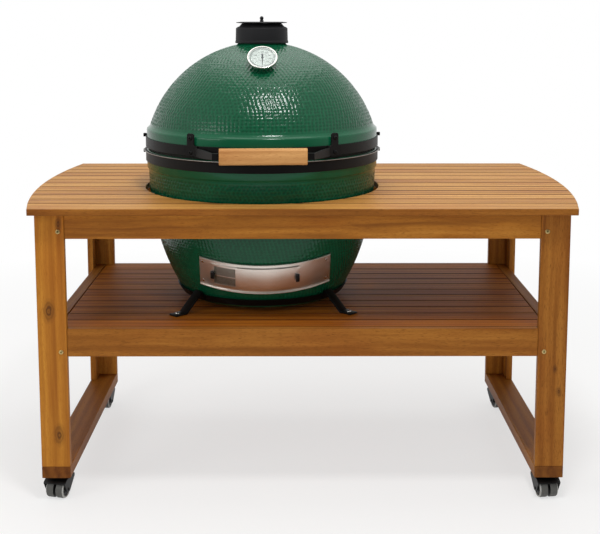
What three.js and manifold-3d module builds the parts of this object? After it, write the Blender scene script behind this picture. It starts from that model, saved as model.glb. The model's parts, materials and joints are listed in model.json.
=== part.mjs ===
// Kamado grill table: a slatted hardwood table on casters with a ceramic kamado grill in a hole of its top.
// Millimetres, +Z up. The origin is on the floor under the middle of the table, and the front faces -Y.

import * as THREE from 'three';
import { mergeVertices } from 'three/addons/utils/BufferGeometryUtils.js';
import Module from 'manifold-3d';

const wasm = await Module();
wasm.setup();

// Driving dimensions of the table
const tableHeight = 800;
const holeFrontMargin = 73.5;
const holeRearMargin = 109.5;
const holeLeftMargin = 308;
const holeRightMargin = 540;
const bowRadius = 2110;
const bowPeakY = 60;
const slatThickness = 17;
const slatGap = 3;
const frontSlatWidth = 86;
const slatCount = 12;
const wholeRearSlats = 2;
const battenWidth = 40;
const battenThickness = 18;
const frontOverhang = 34;
const rearOverhang = 62;
const sideOverhang = 68;
const legWidth = 76;
const legDepth = 77;
const legBoard = 18;
const bottomRailThickness = 32;
const apronHeight = 68;
const apronThickness = 20;
const apronInset = 3;
const shelfDrop = 325;
const shelfRailHeight = 75;
const shelfRailThickness = 20;
const shelfSlatThickness = 17;
const shelfSlatGap = 3;
const shelfSlatCount = 11;
const shelfEndWidth = 30;
const battenClearance = 3;
const shelfBattenCount = 3;

// Driving dimensions of the casters
const casterHeight = 66;
const casterInset = 48;
const casterTrail = 16;
const casterPlateSide = 56;
const casterPlateThickness = 3;
const kingpinRadius = 6;
const kingpinLength = 9;
const wheelRadius = 25;
const wheelWidth = 23;
const wheelSpacing = 6;
const wheelShoulder = 5;
const wheelHubRadius = 9;
const axleRadius = 4;
const axleOverhang = 1.5;
const forkArm = 3.5;
const forkClearance = 2;
const swivelRadius = 22;
const swivelDepth = 7;
const hoodReachShare = 0.92;
const hoodDropShare = 0.4;
const frontLeftYaw = -14;
const frontRightYaw = 8;
const rearLeftYaw = -5;
const rearRightYaw = 12;

// Driving dimensions of the kamado
const kamadoTurn = 2.2;
const baseLift = 13;
const baseHeight = 423.5;
const baseEggRadius = 328;
const baseFootRadius = 224.1;
const baseCornerRadius = 26;
const baseWall = 27;
const baseFloor = 30;
const baseRimHeight = 55.5;
const baseRimEdge = 5;
const rimStep = 4.5;
const rimWall = 30;
const holeClearance = 10.5;
const gasketThickness = 2.8;
const gasketWidth = 22;
const gasketInset = 4;
const domeBulge = 6.5;
const domeCentreDrop = 42.4;
const domeWall = 25;
const domeRimHeight = 56;
const domeRimEdge = 8;
const neckRadius = 67.5;
const neckFlare = 5;
const neckHeight = 38;
const neckBore = 50;
const bandThickness = 3;
const bandHeight = 28;
const bandSetback = 1.5;
const bandLip = 5;
const bandLipHeight = 2.5;
const lugSize = 10;
const lugReach = 8;

// Driving dimensions of the lid hinge
const hingeReach = 34;
const hingeBlockWidth = 130;
const hingeBlockDepth = 10;
const hingeEar = 6;
const hingeEarRadius = 14;
const hingePinRadius = 5;
const hingePinHead = 9;
const hingePinHeadLength = 4;
const lowerEarSpread = 52;
const earGap = 1.2;

// Driving dimensions of the handle
const handleLength = 227;
const handleHeight = 42;
const handleDepth = 32;
const handleChamfer = 9;
const handleReach = 43;
const handleDrop = 3;
const handleTongue = 18;
const handleTongueLength = 16;
const handlePlate = 4;
const handleArmHeight = 24;
const handleFootAngle = 34.4;
const handleFootWidth = 44;
const handleClipWidth = 23;
const handleClipRise = 33;

// Driving dimensions of the thermometer
const dialRadius = 41;
const dialTilt = 46;
const dialStandoff = 23.63;
const dialElevation = 56.53;
const dialCaseDepth = 12.5;
const dialBackRadius = 31;
const dialBezel = 3.5;
const stemRadius = 3;
const stemLength = 95;
const collarRadius = 8;
const collarLength = 9.6;
const stemHoleClearance = 0.5;
const needleLength = 29;
const needleTail = 14;
const needleWidth = 1.6;
const needleTailWidth = 4;
const needleHub = 3;
const needleThickness = 0.7;
const lensThickness = 1.2;

// Driving dimensions of the chimney cap
const capRadius = 76.3;
const capTopRadius = 74;
const capHeight = 43;
const capSkirt = 33.7;
const capClearance = 0.8;
const capShoulder = 68;
const capShoulderRise = 4;
const capCollarTop = 57;
const capCollarFoot = 65;
const capCollarHeight = 9;
const capPlate = 6;
const damperRadius = 73;
const damperThickness = 4.5;
const damperHoleRadius = 9;
const damperHolePitch = 34;
const damperHoleCount = 5;
const knobRadius = 5.5;
const knobHeight = 15.5;
const knobPin = 3;
const knobPinDepth = 3;
const knobShoulderShare = 0.6;
const knobTipShare = 0.9;

// Driving dimensions of what the base holds
const fireClearance = 14;
const fireboxTopHeight = 227;
const fireboxWaistHeight = 62;
const fireboxWall = 22;
const fireboxSole = 48;
const grateLedge = 82;
const grateClearance = 13;
const grateThickness = 6;
const grateSlot = 12;
const grateSlotPitch = 34;
const grateRim = 16;
const fireRingHeight = 133;
const fireRingOverhang = 6.5;
const fireRingWall = 22;
const gridInset = 8;
const gridRim = 7;
const gridBar = 5;
const gridPitch = 34;
const gridBraces = 2;
const ashDoorWidth = 100;
const ashDoorHeight = 72;

// Driving dimensions of the draft door
const draftLeft = -128;
const draftRight = 36;
const draftHeight = 56;
const draftRise = 95;
const draftTilt = 17.5;
const plateLeft = -174;
const plateRight = 184;
const plateHeight = 95;
const plateThickness = 2;
const plateWindowMargin = 6;
const plateLip = 7;
const plateLipWidth = 2.5;
const doorHeight = 70;
const doorThickness = 1.4;
const doorGap = 0.7;
const meshDoorRight = 44;
const meshDoorBar = -55;
const meshDoorFrame = 6;
const solidDoorLeft = -76;
const solidDoorRight = 98;
const doorTab = 10;
const doorTabHeight = 21;
const doorTabReach = 9;

// Driving dimensions of the nest
const nestBandLow = 10;
const nestBandHigh = 30;
const nestPlate = 5;
const nestStrap = 24;
const nestFootRadius = 362;
const nestFootLength = 40;
const nestRise = 51;
const nestLegCount = 4;
const nestShoulderClearance = 7.5;

// Clearances and mesh steps
const seatGap = 0.3;
const cutOverrun = 20;
const mergeTolerance = 1e-4;
const roundSteps = 48;
const innerSteps = 32;
const capSteps = 32;
const wheelSteps = 16;
const smallSteps = 12;
const bowSteps = 16;
const domeArcSteps = 8;
const baseArcSteps = 6;
const hollowArcSteps = 4;
const cornerSteps = 3;
const tangentRounds = 6;
const dialSteps = 24;
const wheelPhase = Math.PI / wheelSteps;

// Places worked out from the driving dimensions
const holeRadius = baseEggRadius + holeClearance;
const tableDepth = holeFrontMargin + 2 * holeRadius + holeRearMargin;
const tableLength = holeLeftMargin + 2 * holeRadius + holeRightMargin;
const frontY = -tableDepth / 2;
const rearY = tableDepth / 2;
const kamadoX = holeLeftMargin + holeRadius - tableLength / 2;
const kamadoY = frontY + holeFrontMargin + holeRadius;
const deckUnderside = tableHeight - slatThickness;
const frameFront = frontY + frontOverhang;
const frameRear = rearY - rearOverhang;
const frameSide = tableLength / 2 - sideOverhang;
const legFoot = casterHeight + bottomRailThickness;
const shelfHeight = tableHeight - shelfDrop;
const shelfUnderside = shelfHeight - shelfRailHeight;
const baseBottom = shelfHeight + baseLift;
const baseTop = baseBottom + baseHeight;
const baseRimFoot = baseTop - baseRimHeight;
const rimRadius = baseEggRadius + rimStep;
const domeRadius = rimRadius + domeBulge;
const baseEggDrop = (baseRimFoot - baseBottom) / Math.sqrt(1 - (baseFootRadius / baseEggRadius) ** 2);
const lowerGasketFoot = baseTop + seatGap;
const upperGasketFoot = lowerGasketFoot + gasketThickness + seatGap;
const domeBottom = upperGasketFoot + gasketThickness + seatGap;
const domeCentre = domeBottom - domeCentreDrop;
const neckFoot = domeCentre + Math.sqrt(domeRadius ** 2 - (neckRadius + neckFlare) ** 2);
const neckTop = neckFoot + neckHeight;
const bandInner = rimRadius + seatGap;
const bandOuter = bandInner + bandThickness;
const hingeY = bandOuter + hingeReach;
const hingeZ = (baseTop + domeBottom) / 2;
const draftHeightZ = baseBottom + draftRise;
const axleHeight = wheelRadius * Math.cos(wheelPhase);

const model = new THREE.Group();
const kamado = new THREE.Group();
kamado.position.set(kamadoX, kamadoY, 0);
kamado.rotation.z = THREE.MathUtils.degToRad(kamadoTurn);
model.add(kamado);

// Finishes
function finish(colour, roughness, metalness) {
  return new THREE.MeshStandardMaterial({ color: colour, roughness, metalness, flatShading: true });
}
const topWood = finish(0xcfa276, 0.55, 0);
const frameWood = finish(0x9c6630, 0.55, 0);
const shelfWood = finish(0x80583a, 0.6, 0);
const handleWood = finish(0xd9a86f, 0.5, 0);
const glazedCeramic = finish(0x1f5a3a, 0.25, 0);
const fireClay = finish(0xb9a993, 0.85, 0);
const blackSteel = finish(0x2f2e2d, 0.5, 0.6);
const castIron = finish(0x34343a, 0.6, 0.5);
const stainless = finish(0xb7a596, 0.3, 0.9);
const feltBlack = finish(0x26241f, 0.95, 0);
const casterBlack = finish(0x2a2b2c, 0.5, 0);
const casterTread = finish(0x6a6a66, 0.6, 0);
const dialWhite = finish(0xdfe5e0, 0.35, 0.3);
const needleBlack = finish(0x3a3f45, 0.5, 0);
const lensGlass = finish(0xe8f0ee, 0.05, 0);

// Solids from three.js geometries, and back
function asSolid(geometry) {
  const bare = geometry.clone();
  bare.deleteAttribute('normal');
  bare.deleteAttribute('uv');
  const merged = mergeVertices(bare, mergeTolerance);
  const corners = merged.index.array;
  const kept = [];
  for (let i = 0; i < corners.length; i += 3) {
    const [a, b, c] = [corners[i], corners[i + 1], corners[i + 2]];
    if (a !== b && b !== c && c !== a) kept.push(a, b, c);
  }
  const vertProperties = Float32Array.from(merged.attributes.position.array);
  return new wasm.Manifold(new wasm.Mesh({ numProp: 3, vertProperties, triVerts: Uint32Array.from(kept) }));
}

function asGeometry(solid) {
  const { vertProperties, triVerts } = solid.getMesh();
  const geometry = new THREE.BufferGeometry();
  geometry.setAttribute('position', new THREE.BufferAttribute(vertProperties, 3));
  geometry.setIndex(new THREE.BufferAttribute(triVerts, 1));
  geometry.computeVertexNormals();
  return geometry;
}

function joined(first, ...others) {
  return others.reduce((sum, next) => sum.add(next), first);
}

function part(name, solid, material, owner = model) {
  const mesh = new THREE.Mesh(asGeometry(solid), material);
  mesh.name = name;
  owner.add(mesh);
  return mesh;
}

// A box between two corners
function block(x0, x1, y0, y1, z0, z1, place = (geometry) => geometry) {
  const geometry = new THREE.BoxGeometry(x1 - x0, y1 - y0, z1 - z0);
  geometry.translate((x0 + x1) / 2, (y0 + y1) / 2, (z0 + z1) / 2);
  return asSolid(place(geometry));
}

// A turned shape round +Z from [radius, height] points, listed so that the outside runs upwards
function turned(profile, steps = roundSteps, place = (geometry) => geometry, phase = 0) {
  const points = profile.map(([radius, height]) => new THREE.Vector2(radius, height));
  const geometry = new THREE.LatheGeometry(points, steps, phase);
  geometry.rotateX(Math.PI / 2);
  return asSolid(place(geometry));
}

function disc(radius, low, high, steps = roundSteps, place = (geometry) => geometry) {
  return turned([[0, low], [radius, low], [radius, high], [0, high]], steps, place);
}

function ring(inner, outer, low, high, steps = roundSteps) {
  return turned([[inner, low], [outer, low], [outer, high], [inner, high], [inner, low]], steps);
}

// A flat outline in X and Y given a height from low to high
function raised(points, low, high, place = (geometry) => geometry) {
  const shape = new THREE.Shape(points.map(([x, y]) => new THREE.Vector2(x, y)));
  const geometry = new THREE.ExtrudeGeometry(shape, { depth: high - low, bevelEnabled: false });
  geometry.translate(0, 0, low);
  return asSolid(place(geometry));
}

// An outline in Y and Z drawn out along X
function sideways(points, x0, x1, place = (geometry) => geometry) {
  const shape = new THREE.Shape(points.map(([y, z]) => new THREE.Vector2(y, z)));
  const geometry = new THREE.ExtrudeGeometry(shape, { depth: x1 - x0, bevelEnabled: false });
  geometry.translate(0, 0, x0);
  const axes = [new THREE.Vector3(0, 1, 0), new THREE.Vector3(0, 0, 1), new THREE.Vector3(1, 0, 0)];
  geometry.applyMatrix4(new THREE.Matrix4().makeBasis(...axes));
  return asSolid(place(geometry));
}

// A strap of even thickness along a bent centre line, as an outline with mitred corners
function strapOutline(line, thickness) {
  const half = thickness / 2;
  const sides = [[], []];
  line.forEach((point, i) => {
    const before = line[Math.max(i - 1, 0)];
    const after = line[Math.min(i + 1, line.length - 1)];
    const into = new THREE.Vector2(point[0] - before[0], point[1] - before[1]).normalize();
    const out = new THREE.Vector2(after[0] - point[0], after[1] - point[1]).normalize();
    const along = new THREE.Vector2().addVectors(into, out).normalize();
    const nearest = i === 0 ? out : into;
    const reach = half / Math.max(along.dot(nearest), Number.EPSILON);
    sides[0].push([point[0] + along.y * reach, point[1] - along.x * reach]);
    sides[1].unshift([point[0] - along.y * reach, point[1] + along.x * reach]);
  });
  return [...sides[0], ...sides[1]];
}

// The top: its outline, cut by the round hole, then sawn into slats
function deckSolid() {
  const bowCentre = tableLength / 2 - bowRadius;
  const low = Math.asin((frontY - bowPeakY) / bowRadius);
  const high = Math.asin((rearY - bowPeakY) / bowRadius);
  const outline = new THREE.Shape();
  outline.absarc(bowCentre, bowPeakY, bowRadius, low, high, false);
  outline.absarc(-bowCentre, bowPeakY, bowRadius, Math.PI - high, Math.PI - low, false);
  const geometry = new THREE.ExtrudeGeometry(outline, {
    depth: slatThickness,
    bevelEnabled: false,
    curveSegments: bowSteps,
  });
  geometry.translate(0, 0, deckUnderside);
  const hole = disc(holeRadius, deckUnderside - cutOverrun, tableHeight + cutOverrun, roundSteps, (cut) =>
    cut.translate(kamadoX, kamadoY, 0),
  );
  return asSolid(geometry).subtract(hole);
}

// The front and rear line of each slat
function slatLines(from, to, count, gap, firstWidth) {
  const pitch = (to - from - firstWidth) / (count - 1);
  return Array.from({ length: count }, (_, i) => {
    const start = i === 0 ? from : from + firstWidth + (i - 1) * pitch;
    const end = i === 0 ? from + firstWidth : start + pitch;
    return [start + (i === 0 ? 0 : gap / 2), end - (i === count - 1 ? 0 : gap / 2)];
  });
}

function addTableTop() {
  const deck = deckSolid();
  const lines = slatLines(frontY, rearY, slatCount, slatGap, frontSlatWidth);
  const wide = tableLength;
  const cutSlat = ([y0, y1], x0, x1) =>
    deck.intersect(block(x0, x1, y0, y1, deckUnderside - cutOverrun, tableHeight + cutOverrun));
  part('top_slat_front', cutSlat(lines[0], -wide, wide), topWood);
  for (let i = 0; i < wholeRearSlats; i += 1) {
    const line = lines[slatCount - wholeRearSlats + i];
    const name = i === wholeRearSlats - 1 ? 'top_slat_rear' : 'top_slat_behind_hole';
    part(name, cutSlat(line, -wide, wide), topWood);
  }

  const short = lines.slice(1, slatCount - wholeRearSlats);
  const battenFront = frameFront + legDepth + battenClearance;
  const battenRear = Math.min(frameRear - legDepth - battenClearance, short[short.length - 1][1]);
  const battenLow = deckUnderside - battenThickness;
  const batten = (x) =>
    block(x, x + battenWidth, battenFront, battenRear, battenLow, deckUnderside + seatGap);
  const outerBatten = frameSide - apronThickness - battenClearance - battenWidth;
  const holeLeft = kamadoX - holeRadius;
  const holeRight = kamadoX + holeRadius;
  const leftBattens = [-outerBatten - battenWidth, holeLeft - battenThickness - battenWidth];
  const rightBattens = [holeRight + battenThickness, (holeRight + outerBatten) / 2, outerBatten];
  const sides = [
    ['top_slats_left', -wide, kamadoX, leftBattens],
    ['top_slats_right', kamadoX, wide, rightBattens],
  ];
  for (const [name, x0, x1, battens] of sides) {
    part(name, joined(...short.map((line) => cutSlat(line, x0, x1)), ...battens.map(batten)), topWood);
  }
}

// Legs: a side board with a front or rear board butted against it
function addLegs() {
  for (const [row, rowSign, faceY] of [['front', -1, frameFront], ['rear', 1, frameRear]]) {
    for (const [side, sideSign] of [['left', -1], ['right', 1]]) {
      const outer = sideSign * frameSide;
      const inner = outer - sideSign * legWidth;
      const sideInner = outer - sideSign * legBoard;
      const depthY = faceY - rowSign * legDepth;
      const boardY = faceY - rowSign * legBoard;
      const sideBoard = block(
        Math.min(outer, sideInner),
        Math.max(outer, sideInner),
        Math.min(faceY, depthY),
        Math.max(faceY, depthY),
        legFoot,
        deckUnderside,
      );
      const faceBoard = block(
        Math.min(outer, inner),
        Math.max(outer, inner),
        Math.min(faceY, boardY),
        Math.max(faceY, boardY),
        legFoot,
        deckUnderside,
      );
      part(`leg_${row}_${side}`, sideBoard.add(faceBoard), frameWood);
    }
  }
}

function addFrame() {
  const apronFoot = deckUnderside - apronHeight;
  const between = frameSide - legWidth;
  part(
    'apron_front',
    block(-between, between, frameFront + apronInset, frameFront + apronInset + apronThickness, apronFoot,
      deckUnderside),
    frameWood,
  );
  part(
    'apron_rear',
    block(-between, between, frameRear - apronInset - apronThickness, frameRear - apronInset, apronFoot,
      deckUnderside),
    frameWood,
  );
  for (const [side, sign] of [['left', -1], ['right', 1]]) {
    const outer = sign * frameSide;
    const apronInner = outer - sign * apronThickness;
    part(
      `apron_${side}`,
      block(Math.min(outer, apronInner), Math.max(outer, apronInner), frameFront + legDepth,
        frameRear - legDepth, apronFoot, deckUnderside),
      frameWood,
    );
    const railInner = outer - sign * legWidth;
    part(
      `bottom_rail_${side}`,
      block(Math.min(outer, railInner), Math.max(outer, railInner), frameFront, frameRear, casterHeight,
        legFoot),
      frameWood,
    );
  }
}

// The shelf: rails between the legs, end boards behind them, and slats held by battens
function addShelf() {
  const between = frameSide - legWidth;
  const endOuter = frameSide - legBoard;
  const endInner = endOuter - shelfEndWidth;
  const boardFront = frameFront + apronInset + shelfRailThickness;
  const boardRear = frameRear - apronInset - shelfRailThickness;
  const slatUnderside = shelfHeight - shelfSlatThickness;
  part(
    'shelf_rail_front',
    block(-between, between, frameFront + apronInset, boardFront, shelfUnderside, shelfHeight),
    frameWood,
  );
  part(
    'shelf_rail_rear',
    block(-between, between, boardRear, frameRear - apronInset, shelfUnderside, shelfHeight),
    frameWood,
  );
  for (const [side, sign] of [['left', -1], ['right', 1]]) {
    const [x0, x1] = [sign * endOuter, sign * endInner];
    part(
      `shelf_end_${side}`,
      block(Math.min(x0, x1), Math.max(x0, x1), frameFront + legBoard, frameRear - legBoard, shelfUnderside,
        shelfHeight),
      frameWood,
    );
  }

  const reach = endInner - shelfSlatGap;
  const pitch = (boardRear - boardFront) / shelfSlatCount;
  const slats = slatLines(boardFront, boardRear, shelfSlatCount, shelfSlatGap, pitch).map(([y0, y1]) =>
    block(-reach, reach, y0, y1, slatUnderside, shelfHeight),
  );
  const span = 2 * (reach - battenWidth);
  const battens = Array.from({ length: shelfBattenCount }, (_, i) => {
    const x = -reach + (span * i) / (shelfBattenCount - 1);
    return block(x, x + battenWidth * 2, boardFront, boardRear, slatUnderside - battenThickness,
      slatUnderside + seatGap);
  });
  part('shelf_slats', joined(...slats, ...battens), shelfWood);
}

// Casters: a plate with its kingpin, a hood with two arms that swivels on it, and a twin wheel on its axle
function casterPlateSolid() {
  const low = casterHeight - casterPlateThickness;
  const half = casterPlateSide / 2;
  const pin = disc(kingpinRadius, low - kingpinLength, low + casterPlateThickness / 2, smallSteps);
  return block(-half, half, -half, half, low, casterHeight).add(pin);
}

function forkSolid() {
  const innerHalf = wheelWidth + wheelSpacing / 2 + forkClearance;
  const outerHalf = innerHalf + forkArm;
  const top = casterHeight - casterPlateThickness - seatGap;
  const crown = top - swivelDepth;
  const hoodRadius = wheelRadius + forkClearance + forkArm;
  const boss = axleRadius + forkArm;
  const hood = sideways(
    [
      [-casterTrail - boss, axleHeight - boss],
      [-casterTrail + boss, axleHeight - boss],
      [swivelRadius, crown - boss],
      [swivelRadius, crown],
      [-casterTrail - boss, crown],
      [-casterTrail - hoodRadius * hoodReachShare, axleHeight + hoodRadius * hoodDropShare],
    ],
    -outerHalf,
    outerHalf,
  );
  const alongX = (geometry) => geometry.rotateY(Math.PI / 2).translate(0, -casterTrail, axleHeight);
  const wheelRoom = disc(wheelRadius + forkClearance, -innerHalf, innerHalf, smallSteps, alongX);
  const armEnd = outerHalf + cutOverrun;
  const axleHole = disc(axleRadius + seatGap, -armEnd, armEnd, smallSteps, alongX);
  const pinHole = disc(kingpinRadius + seatGap, top - kingpinLength, top + cutOverrun, smallSteps);
  const swivel = disc(swivelRadius, crown - forkArm / 2, top, smallSteps);
  return hood.subtract(wheelRoom).add(swivel).subtract(axleHole).subtract(pinHole);
}

function wheelSolid() {
  const inner = wheelSpacing / 2;
  const outer = inner + wheelWidth;
  const end = outer + forkClearance + forkArm + axleOverhang;
  const side = [
    [wheelHubRadius, inner],
    [wheelRadius, inner],
    [wheelRadius, outer - wheelShoulder],
    [wheelRadius - wheelShoulder, outer],
    [axleRadius, outer],
    [axleRadius, end],
    [0, end],
  ];
  const mirrored = side.map(([radius, x]) => [radius, -x]).reverse();
  const place = (geometry) => geometry.rotateY(Math.PI / 2).translate(0, -casterTrail, axleHeight);
  return turned([...mirrored, ...side], wheelSteps, place, wheelPhase);
}

function addCasters() {
  const x = frameSide - legWidth / 2;
  const corners = [
    ['front_left', -x, frameFront + casterInset, frontLeftYaw],
    ['front_right', x, frameFront + casterInset, frontRightYaw],
    ['rear_left', -x, frameRear - casterInset, rearLeftYaw],
    ['rear_right', x, frameRear - casterInset, rearRightYaw],
  ];
  for (const [corner, cornerX, cornerY, yaw] of corners) {
    const mounted = new THREE.Group();
    mounted.position.set(cornerX, cornerY, 0);
    const swivelling = new THREE.Group();
    swivelling.rotation.z = THREE.MathUtils.degToRad(yaw);
    mounted.add(swivelling);
    model.add(mounted);
    part(`caster_plate_${corner}`, casterPlateSolid(), blackSteel, mounted);
    part(`caster_fork_${corner}`, forkSolid(), casterBlack, swivelling);
    part(`caster_wheel_${corner}`, wheelSolid(), casterTread, swivelling);
  }
}

// The egg shape of the base: its outer radius at a height, and how much it leans there
function eggRadius(height) {
  return baseEggRadius * Math.sqrt(1 - ((baseRimFoot - height) / baseEggDrop) ** 2);
}

function eggLean(height) {
  const slope = (baseEggRadius ** 2 * (baseRimFoot - height)) / (baseEggDrop ** 2 * eggRadius(height));
  return Math.atan(slope);
}

function heights(low, high, steps) {
  return Array.from({ length: steps + 1 }, (_, i) => low + ((high - low) * i) / steps);
}

// Where the rounded corner of the foot meets the side
function eggFootHeight() {
  const cornerZ = baseBottom + baseCornerRadius;
  let height = cornerZ;
  for (let i = 0; i < tangentRounds; i += 1) height = cornerZ - baseCornerRadius * Math.sin(eggLean(height));
  return height;
}
const eggFoot = eggFootHeight();
const eggLevels = heights(eggFoot, baseRimFoot, baseArcSteps);
const hollowLevels = heights(baseBottom + baseFloor, baseRimFoot, hollowArcSteps);

function hollowRadius(height) {
  return eggRadius(height) - baseWall / Math.cos(eggLean(height));
}

// The radius of a turned wall at a height, on the straight run between two of its levels
function radiusOnRun(levels, radiusAt, height) {
  const step = levels[1] - levels[0];
  const run = Math.min(Math.max(Math.floor((height - levels[0]) / step), 0), levels.length - 2);
  const share = (height - levels[run]) / step;
  return radiusAt(levels[run]) * (1 - share) + radiusAt(levels[run + 1]) * share;
}

function sideRadius(height) {
  return radiusOnRun(eggLevels, eggRadius, height);
}

// A shell that follows the base's outside between two distances from it
function skin(near, far, low, high) {
  const levels = [low, ...eggLevels.filter((height) => height > low && height < high), high];
  const outside = levels.map((height) => [sideRadius(height) + far, height]);
  const inside = levels.map((height) => [sideRadius(height) + near, height]).reverse();
  return turned([...outside, ...inside, outside[0]]);
}

// The draft door's strip: it is level round an axis that leans back, so that its ends stand higher
function strip(height, lift = 0) {
  const reach = rimRadius * 2;
  const onSlope = (geometry) => {
    geometry.rotateX(THREE.MathUtils.degToRad(draftTilt));
    return geometry.translate(0, -eggRadius(draftHeightZ), draftHeightZ);
  };
  return block(-reach, reach, -reach, reach, lift - height / 2, lift + height / 2, onSlope);
}

function frontOf(left, right) {
  return block(left, right, -rimRadius * 2, -baseCornerRadius, baseBottom, baseTop);
}

function baseShellSolid() {
  const cornerZ = baseBottom + baseCornerRadius;
  const lean = eggLean(eggFoot);
  const cornerX = eggRadius(eggFoot) - baseCornerRadius * Math.cos(lean);
  const corner = heights(-Math.PI / 2, -lean, cornerSteps).map((angle) => [
    cornerX + baseCornerRadius * Math.cos(angle),
    cornerZ + baseCornerRadius * Math.sin(angle),
  ]);
  const outside = eggLevels.slice(1).map((height) => [eggRadius(height), height]);
  const inside = hollowLevels.map((height) => [hollowRadius(height), height]).reverse();
  const shell = turned([
    [0, baseBottom],
    ...corner,
    ...outside,
    [rimRadius, baseRimFoot + baseRimEdge],
    [rimRadius, baseTop],
    [rimRadius - rimWall, baseTop],
    ...inside,
    [0, hollowLevels[0]],
  ]);
  return shell.subtract(strip(draftHeight).intersect(frontOf(draftLeft, draftRight)));
}

function bandLug(low) {
  const half = lugSize / 2;
  const reach = bandOuter + lugReach;
  const inner = bandOuter - bandThickness / 2;
  return [1, -1].map((sign) =>
    block(Math.min(sign * inner, sign * reach), Math.max(sign * inner, sign * reach), -half, half, low,
      low + lugSize),
  );
}

// Ears of a hinge bracket: one plate at each end, with the pin's hole through both
function hingeBracket(low, high, outline, spread) {
  const inside = bandOuter - hingeBlockDepth;
  const outside = bandOuter + hingeBlockDepth;
  const blockSolid = block(-hingeBlockWidth / 2, hingeBlockWidth / 2, inside, outside, low, high);
  const room = disc(bandOuter + seatGap, low - cutOverrun, high + cutOverrun);
  const half = hingeEar / 2;
  const ears = [1, -1].map((sign) => sideways(outline, sign * spread - half, sign * spread + half));
  const hole = disc(hingePinRadius + seatGap, -hingeBlockWidth, hingeBlockWidth, smallSteps, onHingeAxis);
  return joined(blockSolid.subtract(room), ...ears).subtract(hole);
}

function onHingeAxis(geometry) {
  return geometry.rotateY(Math.PI / 2).translate(0, hingeY, hingeZ);
}

function addKamadoBase() {
  part('base_shell', baseShellSolid(), glazedCeramic, kamado);

  const gasketOuter = rimRadius - gasketInset;
  part('lower_gasket', ring(gasketOuter - gasketWidth, gasketOuter, lowerGasketFoot,
    lowerGasketFoot + gasketThickness), feltBlack, kamado);

  const bandTop = baseTop - bandSetback;
  const bandLow = bandTop - bandHeight - bandLipHeight;
  const lipFoot = bandTop - bandLipHeight;
  const band = turned([
    [bandInner, bandLow],
    [bandOuter, bandLow],
    [bandOuter, lipFoot],
    [bandOuter + bandLip, lipFoot],
    [bandOuter + bandLip, bandTop],
    [bandInner, bandTop],
    [bandInner, bandLow],
  ]);
  part('lower_band', joined(band, ...bandLug(lipFoot - lugSize)), blackSteel, kamado);

  const blockTop = lipFoot - seatGap;
  const earRoot = bandOuter + hingeBlockDepth - hingeEar / 2;
  const lowerEar = [
    [earRoot, bandLow],
    [hingeY + hingeEarRadius / 2, hingeZ - hingeEarRadius],
    [hingeY + hingeEarRadius, hingeZ],
    [hingeY + hingeEarRadius / 2, hingeZ + hingeEarRadius],
    [hingeY - hingeEarRadius / 2, hingeZ + hingeEarRadius],
    [earRoot, blockTop],
  ];
  part('lower_hinge_bracket', hingeBracket(bandLow, blockTop, lowerEar, lowerEarSpread), blackSteel, kamado);

  const pinHalf = lowerEarSpread + hingeEar / 2 + seatGap;
  const pinEnd = pinHalf + hingePinHeadLength;
  const pin = turned(
    [
      [0, -pinEnd],
      [hingePinHead, -pinEnd],
      [hingePinHead, -pinHalf],
      [hingePinRadius, -pinHalf],
      [hingePinRadius, pinHalf],
      [hingePinHead, pinHalf],
      [hingePinHead, pinEnd],
      [0, pinEnd],
    ],
    smallSteps,
    onHingeAxis,
  );
  part('hinge_pin', pin, stainless, kamado);
}

// The dome: a spherical cap over a straight rim, with the chimney neck on top
function domeShellSolid(stemHole) {
  const rimTop = domeBottom + domeRimHeight;
  const arcStart = Math.asin((rimTop + domeRimEdge / 2 - domeCentre) / domeRadius);
  const arcEnd = Math.acos((neckRadius + neckFlare) / domeRadius);
  const outside = heights(arcStart, arcEnd, domeArcSteps).map((angle) => [
    domeRadius * Math.cos(angle),
    domeCentre + domeRadius * Math.sin(angle),
  ]);
  const innerRadius = domeRadius - domeWall;
  const innerEnd = Math.acos(neckBore / innerRadius);
  const innerStart = Math.asin((domeBottom + domeRimEdge - domeCentre) / innerRadius);
  const inside = heights(innerEnd, innerStart, hollowArcSteps).map((angle) => [
    innerRadius * Math.cos(angle),
    domeCentre + innerRadius * Math.sin(angle),
  ]);
  const shell = turned([
    [rimRadius - rimWall, domeBottom],
    [rimRadius, domeBottom],
    [rimRadius, rimTop - domeRimEdge],
    [rimRadius - domeRimEdge / 3, rimTop - domeRimEdge / 3],
    ...outside,
    [neckRadius, neckFoot + neckFlare],
    [neckRadius, neckTop],
    [neckBore, neckTop],
    ...inside,
    [rimRadius - rimWall, domeBottom],
  ]);
  return shell.subtract(stemHole);
}

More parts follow.
